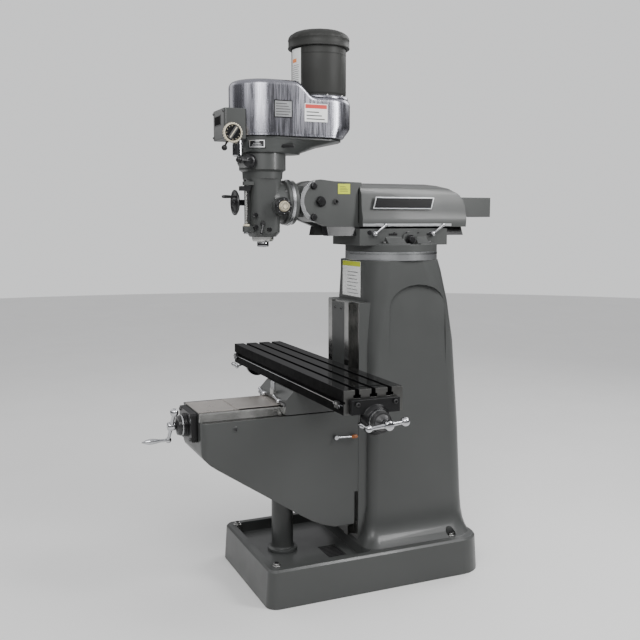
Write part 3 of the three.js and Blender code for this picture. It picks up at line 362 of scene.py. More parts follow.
def outline_prism(axis, outline, low, high):
    """An outline of (x, y), (y, z) or (x, z) pairs drawn along z, x or y."""
    def place(p, s):
        return {"x": (s, p[0], p[1]), "y": (p[0], s, p[1]), "z": (p[0], p[1], s)}[axis]
    n = len(outline)
    verts = [place(p, low) for p in outline] + [place(p, high) for p in outline]
    faces = [(k, (k + 1) % n, (k + 1) % n + n, k + n) for k in range(n)]
    return verts, faces + [tuple(range(n)), tuple(range(n, 2 * n))]


def arc(cx, cy, radius, start, stop, steps):
    return [polar((cx, cy), radius, math.radians(start + (stop - start) * k / steps))
        for k in range(steps + 1)]


def radial_bar(axis, at, angle, inner, outer, half, low, high):
    """A narrow bar along a radius of a turned face, from an inner to an outer radius."""
    c, n = math.cos(angle), math.sin(angle)
    corners = [(at[0] + c * r - n * half * way, at[1] + n * r + c * half * way) for r,
        way in ((inner, -1), (outer, -1), (outer, 1), (inner, 1))]
    return outline_prism(axis, corners, low, high)


def hexagon(axis, at, radius, low, high):
    """A bolt head or nut with chamfered corners."""
    c = 0.12 * abs(high - low) * (1 if high > low else -1)
    profile = [(0, low), (radius, low), (radius, high - c), (radius * 0.9, high), (0, high)]
    return lathe(axis, at, profile, 6)


def socket_screw(axis, at, radius, low, high):
    """A cap screw seen from its end: a rounded head with a sunk hexagon."""
    way = 1 if high > low else -1
    return lathe(axis, at, [(0, low), (radius, low), (radius, high - way * radius * 0.2),
        (radius * 0.86, high), (radius * 0.5, high), (radius * 0.46, high - way * radius * 0.5),
        (0, high - way * radius * 0.5)], 24)


# ---------------------------------------------------------------- pieces
def bake(made):
    """Turn an object's modifiers into plain mesh."""
    depsgraph = bpy.context.evaluated_depsgraph_get()
    baked = bpy.data.meshes.new_from_object(made.evaluated_get(depsgraph))
    made.modifiers.clear()
    made.data = baked


def finish_mesh(mesh, bevel, segments, limit, smooth):
    made = bpy.data.objects.new("working", mesh)
    bpy.context.collection.objects.link(made)
    if bevel:
        modifier = made.modifiers.new("bevel", "BEVEL")
        modifier.width = bevel
        modifier.segments = segments
        modifier.limit_method = "ANGLE"
        modifier.angle_limit = math.radians(limit)
        modifier.harden_normals = False
        modifier.miter_outer = "MITER_ARC"
        bake(made)
    made.data.shade_smooth()
    made.data.set_sharp_from_angle(angle=math.radians(smooth))
    if bevel:
        weighted = made.modifiers.new("weighted", "WEIGHTED_NORMAL")
        weighted.keep_sharp = True
        weighted.weight = 100
        bake(made)
    return made


def piece(name, body, shapes, bevel=0.0, segments=2, limit=40, smooth=38, replaces=()):
    """One object from (shape, material) pairs, riding on a CAD body."""
    bm = bmesh.new()
    materials = []
    for (verts, faces), material in shapes:
        if material not in materials:
            materials.append(material)
        index = materials.index(material)
        made = [bm.verts.new(v) for v in verts]
        part = []
        for face in faces:
            part.append(bm.faces.new([made[i] for i in face]))
            part[-1].material_index = index
        bmesh.ops.recalc_face_normals(bm, faces=part)
    mesh = bpy.data.meshes.new(name)
    bm.to_mesh(mesh)
    bm.free()
    for material in materials:
        mesh.materials.append(material)
    made = finish_mesh(mesh, bevel, segments, limit, smooth)
    made.name = name
    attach(made, body)
    for node in replaces:
        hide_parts(node)
    return made


def refined(node, material, bevel=0.002, segments=3, limit=32, smooth=34, paint=None):
    """A piece that stands for a CAD node: its own mesh, cleaned, with rounded edges. paint(face) may
    name another material for a face."""
    source = frame["nodes"][node]
    bm = bmesh.new()
    bm.from_mesh(source.data)
    bmesh.ops.remove_doubles(bm, verts=bm.verts, dist=2e-6)
    bmesh.ops.dissolve_limit(bm, angle_limit=math.radians(0.6), verts=bm.verts, edges=bm.edges)
    materials = [material]
    bm.faces.ensure_lookup_table()
    for face in bm.faces:
        chosen = (paint(face.calc_center_median(), face.normal) if paint else None) or material
        if chosen not in materials:
            materials.append(chosen)
        face.material_index = materials.index(chosen)
    mesh = bpy.data.meshes.new(node + "_body")
    bm.to_mesh(mesh)
    bm.free()
    for chosen in materials:
        mesh.materials.append(chosen)
    made = finish_mesh(mesh, bevel, segments, limit, smooth)
    made.name = node + "_body"
    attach(made, BODY_OF[node])
    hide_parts(node)
    return made


def span(node):
    """A CAD node's box as lowest corner, highest corner and centre."""
    lo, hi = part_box(node)
    return lo, hi, (lo + hi) / 2


def pivot(joint):
    return Vector(JOINTS[joint]["pos_m"])


# ---------------------------------------------------------------- carried castings
def steel_where(test, material=GROUND):
    return lambda centre, normal: material if test(centre, normal) else None


def castings():
    table_hi = span("table")[1]
    way_face, way_half, way_foot = -0.2215, 0.151, 0.17
    knee_shoulder, knee_ways = 0.7115, 0.713
    refined("column_base", ENAMEL, 0.006, 4, paint=steel_where(lambda c, n: c.y < way_face
        and c.z > way_foot and abs(n.z) < 0.5 and abs(c.x) < way_half))
    refined("column_way_cover", ENAMEL, 0.0012)
    refined("screw_pedestal", ENAMEL, 0.0015)
    refined("turret", ENAMEL, 0.003)
    # Painted shade: faces along the ram's dovetail foot are coloured black to stand for the shade under the
    # ram.
    ram_foot = span("ram")[0].z + 0.0358
    refined("ram", ENAMEL, 0.004, 4, paint=steel_where(lambda c, n: c.z < ram_foot and n.z > -0.9
        and abs(c.x) > 0.06, BLACK_PAINT_AND_SHADE))
    refined("ram_rear_bracket", ENAMEL, 0.002)
    refined("ram_adapter", ENAMEL, 0.002)
    refined("head_casting", ENAMEL, 0.0025, 3)
    refined("speed_box", ENAMEL, 0.003)
    refined("knee", ENAMEL, 0.004, 4, paint=steel_where(lambda c, n: c.z > knee_shoulder
        and (n.z > 0.9 or c.z > knee_ways) and c.y < -0.2))
    refined("saddle", ENAMEL, 0.003, 3)
    def table_paint(c, n):
        if c.z > table_hi.z - 0.001 and n.z > 0.9:
            return TABLE_TOP
        return DARK_WAY_METAL if abs(n.x) > 0.9 and abs(c.x) > table_hi.x - 0.001 else None
    refined("table", TABLE_BLACK, 0.0009, 2, paint=table_paint)
    for side in ("left", "right"):
        refined("table_bracket_" + side, BLACK_PAINT_AND_SHADE, 0.002)
    refined("cross_bracket", BLACK_PAINT_AND_SHADE, 0.003)
    for node in ("way_cover_front", "way_cover_middle", "way_cover_rear"):
        refined(node, SHEET, 0.0005, 2)
    refined("quill_stop_block", BLACK, 0.0015)


def leftovers(shown):
    """CAD nodes that keep their own mesh, mostly inside others."""
    for node, material in shown.items():
        data = frame["nodes"][node].data
        data.materials.clear()
        data.materials.append(material)


# ---------------------------------------------------------------- studio
def studio():
    bm = bmesh.new()
    bmesh.ops.create_circle(bm, cap_ends=True, radius=14, segments=96)
    mesh = bpy.data.meshes.new("floor")
    bm.to_mesh(mesh)
    bm.free()
    mesh.materials.append(FLOOR)
    floor = bpy.data.objects.new("floor", mesh)
    floor.location = (0, -0.3, CAD_BOX[0][2] - 0.0005)
    bpy.context.collection.objects.link(floor)
    area_light("key", (2.2, -1.5, 2.9), (0, -0.2, 1.95), (1.5, 1.5), 60)
    area_light("strip_right", (1.5, 1.0, 2.5), (0, 0, 1.75), (0.5, 1.5), 46)
    area_light("fill", (-3.4, -2.6, 3.2), (0, -0.4, 1.5), (2.2, 2.2), 20)
    area_light("front", (0.9, -3.1, 2.9), (0, -0.3, 1.75), (1.0, 1.0), 10)
    area_light("back", (-1.5, 3.4, 3.6), (0, 0, 1.5), (2.2, 1.8), 60)


# ---------------------------------------------------------------- motor and belt drive
def between(a, b, steps):
    """Points along a straight side, its ends left out."""
    return [tuple(p + (q - p) * k / steps for p, q in zip(a, b)) for k in range(1, steps)]


def pear(front_y, front_r, rear_y, rear_r, steps=40):
    """Plan of two circles on the Y axis joined by their tangents, as (x, y) pairs."""
    lean = math.degrees(math.asin((front_r - rear_r) / (rear_y - front_y)))
    rear = arc(0, rear_y, rear_r, lean, 180 - lean, steps)
    front = arc(0, front_y, front_r, 180 - lean, 360 + lean, steps)
    return rear + between(rear[-1], front[0], 24) + front + between(front[-1], rear[0], 24)


def skin(levels, caps=True):
    """A lofted skin through rings of equal point count."""
    n = len(levels[0])
    verts = [point for ring in levels for point in ring]
    faces = [(k * n + i, k * n + (i + 1) % n, (k + 1) * n + (i + 1) % n, (k + 1) * n + i)
        for k in range(len(levels) - 1) for i in range(n)]
    if caps:
        faces += [tuple(range(n)), tuple(range((len(levels) - 1) * n, len(levels) * n))]
    return verts, faces


def smooth_step(t):
    t = min(1.0, max(0.0, t))
    return t * t * (3 - 2 * t)


def curved_plate(axis_at, radius, start, stop, low, high, thick, steps=14):
    """A plate bent round a vertical axis, between two angles in degrees."""
    inner = arc(*axis_at, radius, start, stop, steps)
    outer = arc(*axis_at, radius + thick, stop, start, steps)
    return outline_prism("z", inner + outer, low, high)


def motor_pieces():
    lo, hi, mid = span("motor")
    at, r = (mid.x, mid.y), (hi.x - lo.x) / 2
    seam = 0.0012
    body = raised(lo.z, [(0, 0), (r - 0.004, 0), (r - 0.004, 0.012), (r - 0.0015, 0.016), (r, 0.02)])
    body += raised(hi.z, [(r, -0.03), (r - seam, -0.029), (r - seam, -0.027), (r, -0.026), (r, 0), (0, 0)])
    shapes = [(lathe("z", at, body, 96), MOTOR_GREY)]
    for angle in (30, 120, 210, 300):
        foot = polar(at, r - 0.001, math.radians(angle))
        shapes.append((rod("z", foot, 0.0022, lo.z + 0.02, hi.z - 0.03, 10), MOTOR_GREY))
    piece("motor_frame", "head", shapes, smooth=30, replaces=("motor",))
    label = [(curved_plate(at, r, -97, -63, hi.z - 0.15, hi.z - 0.006, 0.0006), WHITE),
        (curved_plate(at, r + 0.0005, -92, -76, hi.z - 0.058, hi.z - 0.044, 0.0005), ORANGE)]
    rows = 9
    for k in range(rows):
        z = hi.z - 0.07 - 0.008 * k
        stop = -68 - 4 * random.random()
        label.append((curved_plate(at, r + 0.0005, -93, stop, z, z + 0.0016, 0.0003), BLACK_PAINT_AND_SHADE))
    label.append((curved_plate(at, r + 0.0005, -86, -72, hi.z - 0.147, hi.z - 0.137, 0.0003), BLACK_PAINT_AND_SHADE))
    piece("motor_label", "head", label)
    lo, hi, _ = span("motor_cap")
    r = (hi.x - lo.x) / 2
    top = hi.z
    profile = [(r - 0.012, lo.z + 0.001), (r - 0.012, lo.z), (r - 0.002, lo.z), (r, lo.z + 0.002),
        (r, lo.z + 0.006), (r - 0.0015, lo.z + 0.008), (r - 0.0015, lo.z + 0.03), (r, lo.z + 0.033),
        (r - 0.002, lo.z + 0.042), (r - 0.008, lo.z + 0.051), (r - 0.02, lo.z + 0.059),
        (r - 0.032, lo.z + 0.064), (r - 0.036, lo.z + 0.0615), (r - 0.046, lo.z + 0.062),
        (r - 0.05, lo.z + 0.0665), (r - 0.075, top - 0.003), (r - 0.1, top - 0.0005), (0, top),
        (0, top - 0.012), (r - 0.05, lo.z + 0.054), (r - 0.012, lo.z + 0.03), (r - 0.012, lo.z + 0.001)]
    ribs = 18
    def scallop(angle, index):
        return 1 + (0.008 * abs(math.cos(ribs * angle / 2)) ** 6 if 8 <= index <= 11 else 0)
    piece("fan_cover", "head", [(lathe("z", at, profile, 216, scallop), MOTOR_GREY)],
        replaces=("motor_cap",))


def belt_pieces():
    lo, hi, _ = span("belt_housing")
    motor_lo, motor_hi, motor_mid = span("motor")
    front_r, rear_r = FRONT_DRUM, REAR_DRUM
    front_y, rear_y = lo.y + front_r, hi.y - rear_r
    low_top = motor_lo.z - 0.0005
    def top_at(y):
        return low_top + (hi.z - low_top) * smooth_step((-0.402 - y) / 0.078)
    def ring(inward, drop):
        return [(x, y, top_at(y) - drop) for x, y in pear(front_y, front_r - inward, rear_y,
            rear_r - inward)]
    def tucked(y, z):
        """The rear drum curves in towards its foot."""
        rise = min(1.0, (z - lo.z) / 0.045)
        return rear_y + (y - rear_y) * (1 - 0.31 * (1 - rise) ** 1.3) if y > rear_y else y
    def level(z, inward=0.0):
        return [(x, tucked(y, z), z) for x, y in pear(front_y, front_r - inward, rear_y, rear_r - inward)]
    fillet = 0.024
    rings = [level(lo.z, 0.004), level(lo.z), level(lo.z + 0.008), level(lo.z + 0.0095, 0.002)]
    rings += [level(lo.z + 0.006 * k, 0.002) for k in range(2, 9)]
    rings += [ring(0.002, fillet)]
    for k in range(1, 9):
        a = math.radians(90 * k / 8)
        rings.append(ring(0.002 + fillet * (1 - math.cos(a)), fillet * (1 - math.sin(a))))
    rings += [ring(inward, 0.0) for inward in (0.04, 0.055, 0.07, 0.085, 0.1, 0.115)]
    housing = [(skin(rings), ALUMINIUM)]
    at = (motor_mid.x, motor_mid.y)
    motor_r = (motor_hi.x - motor_lo.x) / 2
    housing.append((lathe("z", at, raised(low_top, [(motor_r - 0.006, -0.004), (motor_r + 0.008, -0.004),
        (motor_r + 0.008, 0.004), (motor_r + 0.005, 0.007), (motor_r - 0.006, 0.007),
        (motor_r - 0.006, -0.004)]), 96), ALUMINIUM))
    piece("belt_guard", "head", housing, smooth=50, replaces=("belt_housing",))
    screws = []
    for k in range(10):
        place = polar(at, motor_r + 0.003, math.radians(-150 + 36 * k))
        screws.append((socket_screw("z", place, 0.0032, low_top + 0.006, low_top + 0.0095), STEEL))
    piece("motor_flange_screws", "head", screws)
    cap_at = (0, front_y)
    piece("drawbar_collar", "head",
        [(lathe("z", cap_at, raised(hi.z, [(0.016, -0.003), (0.034, -0.003), (0.034, 0.003), (0.03, 0.006),
        (0.016, 0.006), (0.016, -0.003)]), 48), BLACK_PAINT_AND_SHADE)])
    bar_lo, bar_hi, bar = span("drawbar")
    r = 0.007
    shank = lathe("z", (bar.x, bar.y), [(0, bar_lo.z), (r, bar_lo.z), (r, bar_hi.z - 0.016),
        (0, bar_hi.z - 0.016)], 32)
    head = hexagon("z", (bar.x, bar.y), 0.0098, bar_hi.z - 0.018, bar_hi.z)
    piece("drawbar_bolt", "spindle", [(shank, STEEL), (head, STEEL)], replaces=("drawbar",))
    gear_lo, gear_hi, _ = span("gear_housing")
    def gear_ring(z, fy, fr, ry, rr):
        return [(x, y, z) for x, y in pear(fy, fr, ry, rr)]
    steps = [(gear_lo.z, 0.1, -0.47, 0.048), (gear_lo.z + 0.006, 0.106, -0.47, 0.052),
        (gear_lo.z + 0.029, 0.111, -0.42, 0.07), (gear_hi.z - 0.012, 0.114, -0.336, 0.082),
        (gear_hi.z - 0.008, 0.118, -0.334, 0.088), (gear_hi.z - 0.002, 0.118, -0.334, 0.088),
        (gear_hi.z, 0.116, -0.334, 0.086)]
    piece("gear_case", "head", [(skin([gear_ring(z, front_y, fr, ry, rr) for z, fr, ry, rr in steps]),
        GEAR_GREY)], smooth=40, replaces=("gear_housing",))


def framed_plate(axis, face, lo, hi, rim, plate, rows=0, ink=None):
    """A flat label standing off a face: a border, a field and plain bars in place of any text.
    lo and hi are the plate's corners in the face's plane; face is (place, outward sign)."""
    place, way = face
    def slab(a, b, from_, to):
        low, high = sorted((place + way * from_, place + way * to))
        if axis == "x":
            return block((low, a[0], a[1]), (high, b[0], b[1]))
        return block((a[0], low, a[1]), (b[0], high, b[1]))
    edge = 0.004 if hi[1] - lo[1] > 0.03 else 0.002
    shapes = [(slab(lo, hi, -0.0005, 0.0012), rim),
        (slab((lo[0] + edge, lo[1] + edge), (hi[0] - edge, hi[1] - edge), 0.0, 0.0016), plate)]
    height = hi[1] - lo[1] - 4 * edge
    for k in range(rows):
        z = lo[1] + 2 * edge + height * (k + 0.3) / rows
        stop = hi[0] - 2 * edge - (hi[0] - lo[0]) * 0.25 * random.random()
        shapes.append((slab((lo[0] + 2 * edge, z), (stop, z + height / rows * 0.28), 0.0, 0.0019), ink))
    return shapes


def drum_side(y):
    """Half width of the belt guard at a place along Y."""
    lo, hi, _ = span("belt_housing")
    inward = 0.002
    outline = pear(lo.y + FRONT_DRUM, FRONT_DRUM - inward, hi.y - REAR_DRUM, REAR_DRUM - inward)
    right = [p for p in outline if p[0] > 0]
    return min(right, key=lambda p: abs(p[1] - y))[0]


def head_labels():
    lo = span("belt_housing")[0]
    y0, y1 = -0.574, -0.498
    x = drum_side((y0 + y1) / 2)
    z = lo.z + 0.099
    piece("data_plate", "head", framed_plate("x", (x - 0.0002, 1), (y0, z - 0.033), (y1, z + 0.033),
        BLACK_PAINT_AND_SHADE, SATIN, 5, BLACK))
    y0, y1 = -0.448, -0.352
    x = drum_side(y0)
    panel = [(block((x - 0.004, y0, z - 0.042), (x + 0.0004, y1, z + 0.026)), WHITE),
        (block((x, y0 + 0.003, z + 0.008), (x + 0.0009, y1 - 0.003, z + 0.023)), RED)]
    for k in range(3):
        low = z - 0.034 + 0.013 * k
        panel.append((block((x, y0 + 0.008, low), (x + 0.0009, y1 - 0.012 - 0.012 * k, low + 0.004)),
            GEAR_GREY))
    piece("plain_sticker", "head", panel)
    gear_lo = span("gear_housing")[0]
    at = (0, lo.y + FRONT_DRUM)
    low, high = gear_lo.z + 0.0145, gear_lo.z + 0.0475
    plate = [(curved_plate(at, 0.1105, -47, -13, low, high, 0.0022), BLACK_PAINT_AND_SHADE),
        (curved_plate(at, 0.1105, -45.5, -14.5, low + 0.0025, high - 0.0025, 0.0027), SATIN),
        (curved_plate(at, 0.1105, -43.5, -16.5, low + 0.006, high - 0.006, 0.0031), BLACK_PAINT_AND_SHADE)]
    for k in range(3):
        bar = low + 0.0098 + 0.0058 * k
        plate.append((curved_plate(at, 0.1105, -40 + 3 * k, -21 - 2 * k, bar, bar + 0.002, 0.0035), SATIN))
    piece("gear_plate", "head", plate)
    # Painted shade: a black block standing just out of the gear case where the breather slot's dark opening
    # is.
    piece("breather_slot_painted_shade", "head",
        [(block((0.09, at[1] + 0.043, gear_lo.z + 0.019), (0.1055, at[1] + 0.095, gear_lo.z + 0.033)),
        BLACK_PAINT_AND_SHADE)], bevel=0.004)
    box_lo, box_hi, _ = span("speed_box")
    window = framed_plate("y", (box_lo.y, -1), (-0.036, box_hi.z - 0.062), (0.044, box_hi.z - 0.022),
        BLACK_PAINT_AND_SHADE, TABLE_BLACK)
    piece("speed_window", "head", window, bevel=0.0006)
    screws = []
    for x in (box_lo.x + 0.012, box_hi.x - 0.012):
        for z in (box_lo.z + 0.012, box_hi.z - 0.012):
            screws.append((socket_screw("y", (x, z), 0.0045, box_lo.y + 0.001, box_lo.y - 0.0035), BLACK))
    piece("speed_box_screws", "head", screws)


# ---------------------------------------------------------------- head controls
def knurled(count, depth, rows):
    """A radius factor with rounded teeth on the named profile rows."""
    def factor(angle, index):
        return 1 - (depth * (0.5 + 0.5 * math.cos(count * angle)) if index in rows else 0)
    return factor


def speed_dial():
    lo, hi, mid = span("speed_dial")
    at, r = (mid.y, mid.z), (hi.z - lo.z) / 2
    rim = raised(lo.x, [(0, 0), (r - 0.005, 0), (r, 0.003), (r, 0.013), (r - 0.002, 0.0155),
        (r - 0.006, 0.0165), (r - 0.0065, 0.014), (0, 0.014)])
    shapes = [(lathe("x", at, rim, 192, knurled(24, 0.07, (2, 3, 4))), CREAM)]
    shapes.append((lathe("x", at, raised(lo.x, [(0, 0.0138), (r - 0.0075, 0.0138), (r - 0.0085, 0.0155),
        (0, 0.0155)]), 96), BLACK_PAINT_AND_SHADE))
    lean = math.radians(55)
    for length, half, low, high, material in ((r - 0.011, 0.0075, lo.x + 0.0154, hi.x - 0.0008, BLACK),
            (r - 0.014, 0.0016, hi.x - 0.001, hi.x, CREAM)):
        shapes.append((radial_bar("x", at, lean, -length, length, half, low, high), material))
    for k in range(11):
        a = math.radians(70 + 28 * k)
        shapes.append((radial_bar("x", at, a, r - 0.0145, r - 0.0105, 0.0006, lo.x + 0.0153, lo.x + 0.0161),
            CREAM))
    piece("dial_knob", "dial", shapes, smooth=30, replaces=("speed_dial",))


def knob_lever(name, body, node, path, radii, end, end_r, material, tip, hub, smooth=40):
    """A lever: a turned hub, and a tapered bar with a ball or knob at its end."""
    shapes = [(limb(path, radii), material), (ball(end, end_r), tip), (hub, material)]
    piece(name, body, shapes, smooth=smooth, replaces=(node,))


def head_levers():
    x, y, z = pivot("brake_swing")
    shank = lathe("z", (x, y), [(0, z + 0.0075), (0.006, z + 0.0075), (0.006, z - 0.004),
        (0.004, z - 0.006), (0, z - 0.006)], 28)
    knob_lever("brake_handle", "brake", "brake_lever", [(x, y, z), (x + 0.004, y - 0.007, z - 0.012),
        (x + 0.008, y - 0.014, z - 0.024)], [0.0042, 0.0038, 0.0036], (x + 0.008, y - 0.014, z - 0.026),
        0.011, BLACK, BLACK_PAINT_AND_SHADE, shank)
    lo, hi, mid = span("shift_plunger")
    r = (hi.x - lo.x) / 2
    piece("shift_rod", "head",
        [(lathe("z", (mid.x, mid.y), [(0, lo.z), (r - 0.004, lo.z), (r - 0.002, lo.z + 0.002),
        (r, lo.z + 0.004), (r, hi.z - 0.02), (r - 0.0015, hi.z - 0.019), (r - 0.0015, hi.z - 0.016),
        (r, hi.z - 0.015), (r, hi.z - 0.006), (r - 0.004, hi.z), (0, hi.z)], 64), CHROME)], smooth=30,
        replaces=("shift_plunger",))
    x, y, z = pivot("high_low_shift")
    hub = lathe("x", (y, z), raised(x, [(0, 0.0003), (0.026, 0.0003), (0.027, 0.0015), (0.027, 0.0085),
        (0.0255, 0.01), (0.017, 0.0165), (0.015, 0.018), (0.007, 0.018), (0.006, 0.0165), (0, 0.0165)]), 64)
    knob_lever("range_lever", "high_low", "high_low_lever",
        [(x + 0.01, y, z), (x + 0.018, y - 0.024, z + 0.001), (x + 0.026, y - 0.048, z + 0.002)],
        [0.005, 0.0044, 0.0046], (x + 0.026, y - 0.05, z + 0.002), 0.012, BLACK, BLACK_PAINT_AND_SHADE, hub)
    x, y, z = pivot("quill_lock_turn")
    hub = lathe("x", (y, z), [(0, x), (0.009, x), (0.009, x + 0.013), (0.0065, x + 0.016), (0, x + 0.016)],
        36)
    knob_lever("quill_lock_handle", "quill_lock", "quill_lock_lever",
        [(x + 0.01, y, z), (x + 0.013, y - 0.004, z - 0.018), (x + 0.015, y - 0.01, z - 0.039)],
        [0.005, 0.004, 0.0055], (x + 0.015, y - 0.01, z - 0.0385), 0.0055, BLACK, BLACK, hub)


def feed_controls():
    lo, hi, mid = span("quill_feed_hub")
    at, r = (mid.y, mid.z), (hi.z - lo.z) / 2
    face = lo.x + 0.0111
    ring = raised(face, [(0.019, 0.0005), (r - 0.001, 0), (r, 0.001), (r, 0.011), (r - 0.001, 0.0125),
        (r - 0.005, 0.0155), (0.0225, 0.0155), (0.0215, 0.014), (0.019, 0.0005)])
    drum = [(0, lo.x), (0.0105, lo.x), (0.0105, face), (0.0205, face), (0.0205, face + 0.016),
        (0.0195, face + 0.0175), (0.018, face + 0.0285), (0.0165, hi.x), (0.0075, hi.x),
        (0.0065, hi.x - 0.003), (0, hi.x - 0.003)]
    shapes = [(lathe("x", at, ring, 96), BLACK), (lathe("x", at, drum, 192, knurled(40, 0.05, (5, 6, 7))),
        CREAM)]
    for k in range(8):
        hole = polar(at, 0.0275, TAU * k / 8)
        shapes.append((rod("x", hole, 0.0021, face + 0.0152, face + 0.0159, 16), SATIN))
    for k in range(24):
        slot = radial_bar("x", at, TAU * k / 24, 0.009, 0.0158, 0.0007, hi.x - 0.001, hi.x + 0.0003)
        shapes.append((slot, BLACK_PAINT_AND_SHADE))
    piece("feed_clutch", "feed_hub", shapes, smooth=30, replaces=("quill_feed_hub",))
    front = span("feed_handwheel")[1].y
    x, _, z = pivot("feed_wheel_turn")
    # radius, and distance in front of the casting
    wheel = ((0, 0.0625), (0.012, 0.0625), (0.014, 0.0605), (0.0155, 0.0555), (0.028, 0.0515),
        (0.041, 0.0495), (0.0455, 0.0527), (0.049, 0.0525), (0.05, 0.0505), (0.05, 0.047), (0.048, 0.0457),
        (0.042, 0.042), (0.03, 0.044), (0.0165, 0.046), (0.012, 0.0375), (0.012, 0), (0, 0))
    handle = ((0, 0.0465), (0.0045, 0.0465), (0.0042, 0.0675), (0.0058, 0.0815), (0.0065, 0.0995),
        (0.0055, 0.1095), (0.003, 0.1125), (0, 0.1125))
    grip = (x + 0.034, z + 0.022)
    shapes = [(lathe("y", (x, z), [(r, front - out) for r, out in wheel], 96), BLACK),
        (lathe("y", grip, [(r, front - out) for r, out in handle], 36), BLACK_PAINT_AND_SHADE)]
    piece("feed_wheel_rim", "feed_wheel", shapes, smooth=40, replaces=("feed_handwheel",))


def quill_stop():
    lo, hi, mid = span("quill_stop_rod")
    at, r = (mid.x, mid.y), 0.0068
    thread = []
    z = lo.z + 0.012
    while z < hi.z - 0.006:
        thread += [(r, z), (r - 0.0009, z + 0.0011)]
        z += 0.0022
    shapes = [(lathe("z", at, [(0, lo.z + 0.012)] + thread + [(0, z)], 28), STEEL)]
    nut = raised(lo.z, [(r, 0.0303), (0.0112, 0.0303), (0.012, 0.031), (0.012, 0.0372), (0.0112, 0.038),
        (r, 0.038)])
    shapes.append((lathe("z", at, nut, 96, knurled(24, 0.04, (1, 2, 3, 4))), CREAM))
    foot = raised(lo.z, [(0, 0), (0.0095, 0), (0.011, 0.0012), (0.011, 0.0065), (0.0095, 0.0077),
        (0.0065, 0.0125), (0, 0.0125)])
    shapes.append((lathe("z", at, foot, 48), SATIN))
    piece("micrometer_rod", "head", shapes, smooth=28, replaces=("quill_stop_rod",))
    trip = (mid.x - 0.026, mid.y + 0.004)
    low, high = lo.z + 0.022, hi.z - 0.004
    piece("trip_rod", "head", [(rod("z", trip, 0.0032, low, high, 24), STEEL),
        (ball((trip[0], trip[1], high + 0.002), 0.0055), BLACK_PAINT_AND_SHADE)])
    plugs = []
    for y, z, skin_x in ((-0.628, 1.497, 0.068), (-0.628, 1.451, 0.068), (-0.579, 1.441, 0.088)):
        plugs.append((lathe("x", (y, z), raised(skin_x, [(0, -0.012), (0.008, -0.012), (0.008, 0.005),
            (0.0065, 0.0065), (0, 0.0065)]), 24), BLACK_PAINT_AND_SHADE))
    piece("barrel_plugs", "head", plugs)


def quill_nose():
    lo, hi, mid = span("quill")
    at, r = (mid.x, mid.y), (hi.x - lo.x) / 2
    skirt = [(0.024, lo.z), (r - 0.0045, lo.z), (r - 0.0015, lo.z + 0.004), (r, lo.z + 0.01), (r, hi.z),
        (0.024, hi.z), (0.024, lo.z)]
    piece("quill_sleeve", "quill", [(lathe("z", at, skirt, 96), STEEL)], smooth=30, replaces=("quill",))
    lo, hi, _ = span("spindle_nose")
    nose = [(0.012, lo.z + 0.0015), (0.0135, lo.z), (0.0205, lo.z), (0.0225, lo.z + 0.0015),
        (0.023, lo.z + 0.004), (0.023, lo.z + 0.019), (0.021, lo.z + 0.023), (0.021, hi.z), (0.012, hi.z),
        (0.012, lo.z + 0.0015)]
    piece("spindle_end", "spindle", [(lathe("z", at, nose, 96), CHROME)], smooth=30,
        replaces=("spindle_nose",))


# ---------------------------------------------------------------- knuckle, ram and turret
def ring_ticks(axis, at, radius, place, count, start, step, reach, material, body, name, long_every=5):
    """Graduation lines on a turned face: short bars along the axis, standing just off the surface."""
    shapes = []
    for k in range(count):
        a = math.radians(start + step * k)
        length = reach if k % long_every == 0 else reach * 0.6
        bar = radial_bar(axis, at, a, radius - 0.0006, radius + 0.0003, 0.0004, place, place + length)
        shapes.append((bar, material))
    piece(name, body, shapes)


def bolt_head(axis, at, radius, face, way, height, washer=0.0):
    """A cap screw on an optional washer, standing off a face along an axis."""
    shapes = []
    if washer:
        shapes.append((lathe(axis, at,
            raised(face, [(0, 0), (washer, 0), (washer, way * 0.002), (washer - 0.001, way * 0.003),
            (0, way * 0.003)]), 48), BLACK))
        face += way * 0.003
    shapes.append((socket_screw(axis, at, radius, face, face + way * height), BLACK))
    return shapes


def knuckle_pieces():
    _, hi, mid = span("knuckle_pivot_bolt")
    face = 0.080
    pivot_at = (mid.y, mid.z)
    shapes = [(rod("x", pivot_at, 0.012, -face - 0.012, face + 0.001), STEEL)]
    shapes += [(lathe("x", pivot_at, raised(face, [(0, 0.0003), (0.021, 0.0003), (0.022, 0.001),
        (0.022, 0.003), (0.0205, 0.004), (0, 0.004)]), 64), BLACK)]
    shapes += [(hexagon("x", pivot_at, 0.0175, face + 0.004, hi.x), BLACK)]
    piece("pivot_bolt", "ram", shapes, bevel=0.0006, replaces=("knuckle_pivot_bolt",))
    for place in ("upper", "lower"):
        node = "knuckle_lock_bolt_" + place
        lo, hi, mid = span(node)
        at = (mid.y, mid.z)
        shapes = [(lathe("x", at, raised(lo.x, [(0, 0), (0.0148, 0), (0.0148, 0.0022), (0.014, 0.003),
            (0, 0.003)]), 48), BLACK), (hexagon("x", at, 0.0118, lo.x + 0.003, hi.x), BLACK)]
        piece(node + "_head", "ram", shapes, bevel=0.0005, replaces=(node,))
    third = (mid.y + 0.096, pivot_at[1])
    piece("fork_screw", "ram", bolt_head("x", third, 0.0105, face, 1, 0.011))
    scale = arc(*pivot_at, 0.088, 108, 250, 40) + arc(*pivot_at, 0.072, 250, 108, 40)
    piece("nod_scale", "ram", [(outline_prism("x", scale, face - 0.0006, face + 0.0012), SATIN)],
        bevel=0.0003)
    marks = []
    for k in range(29):
        a = math.radians(110 + 4.9 * k)
        reach = 0.0075 if k % 5 == 0 else 0.0045
        bar = radial_bar("x", pivot_at, a, 0.0875 - reach, 0.0875, 0.00035, face + 0.001, face + 0.0015)
        marks.append((bar, BLACK_PAINT_AND_SHADE))
    piece("nod_scale_marks", "ram", marks)


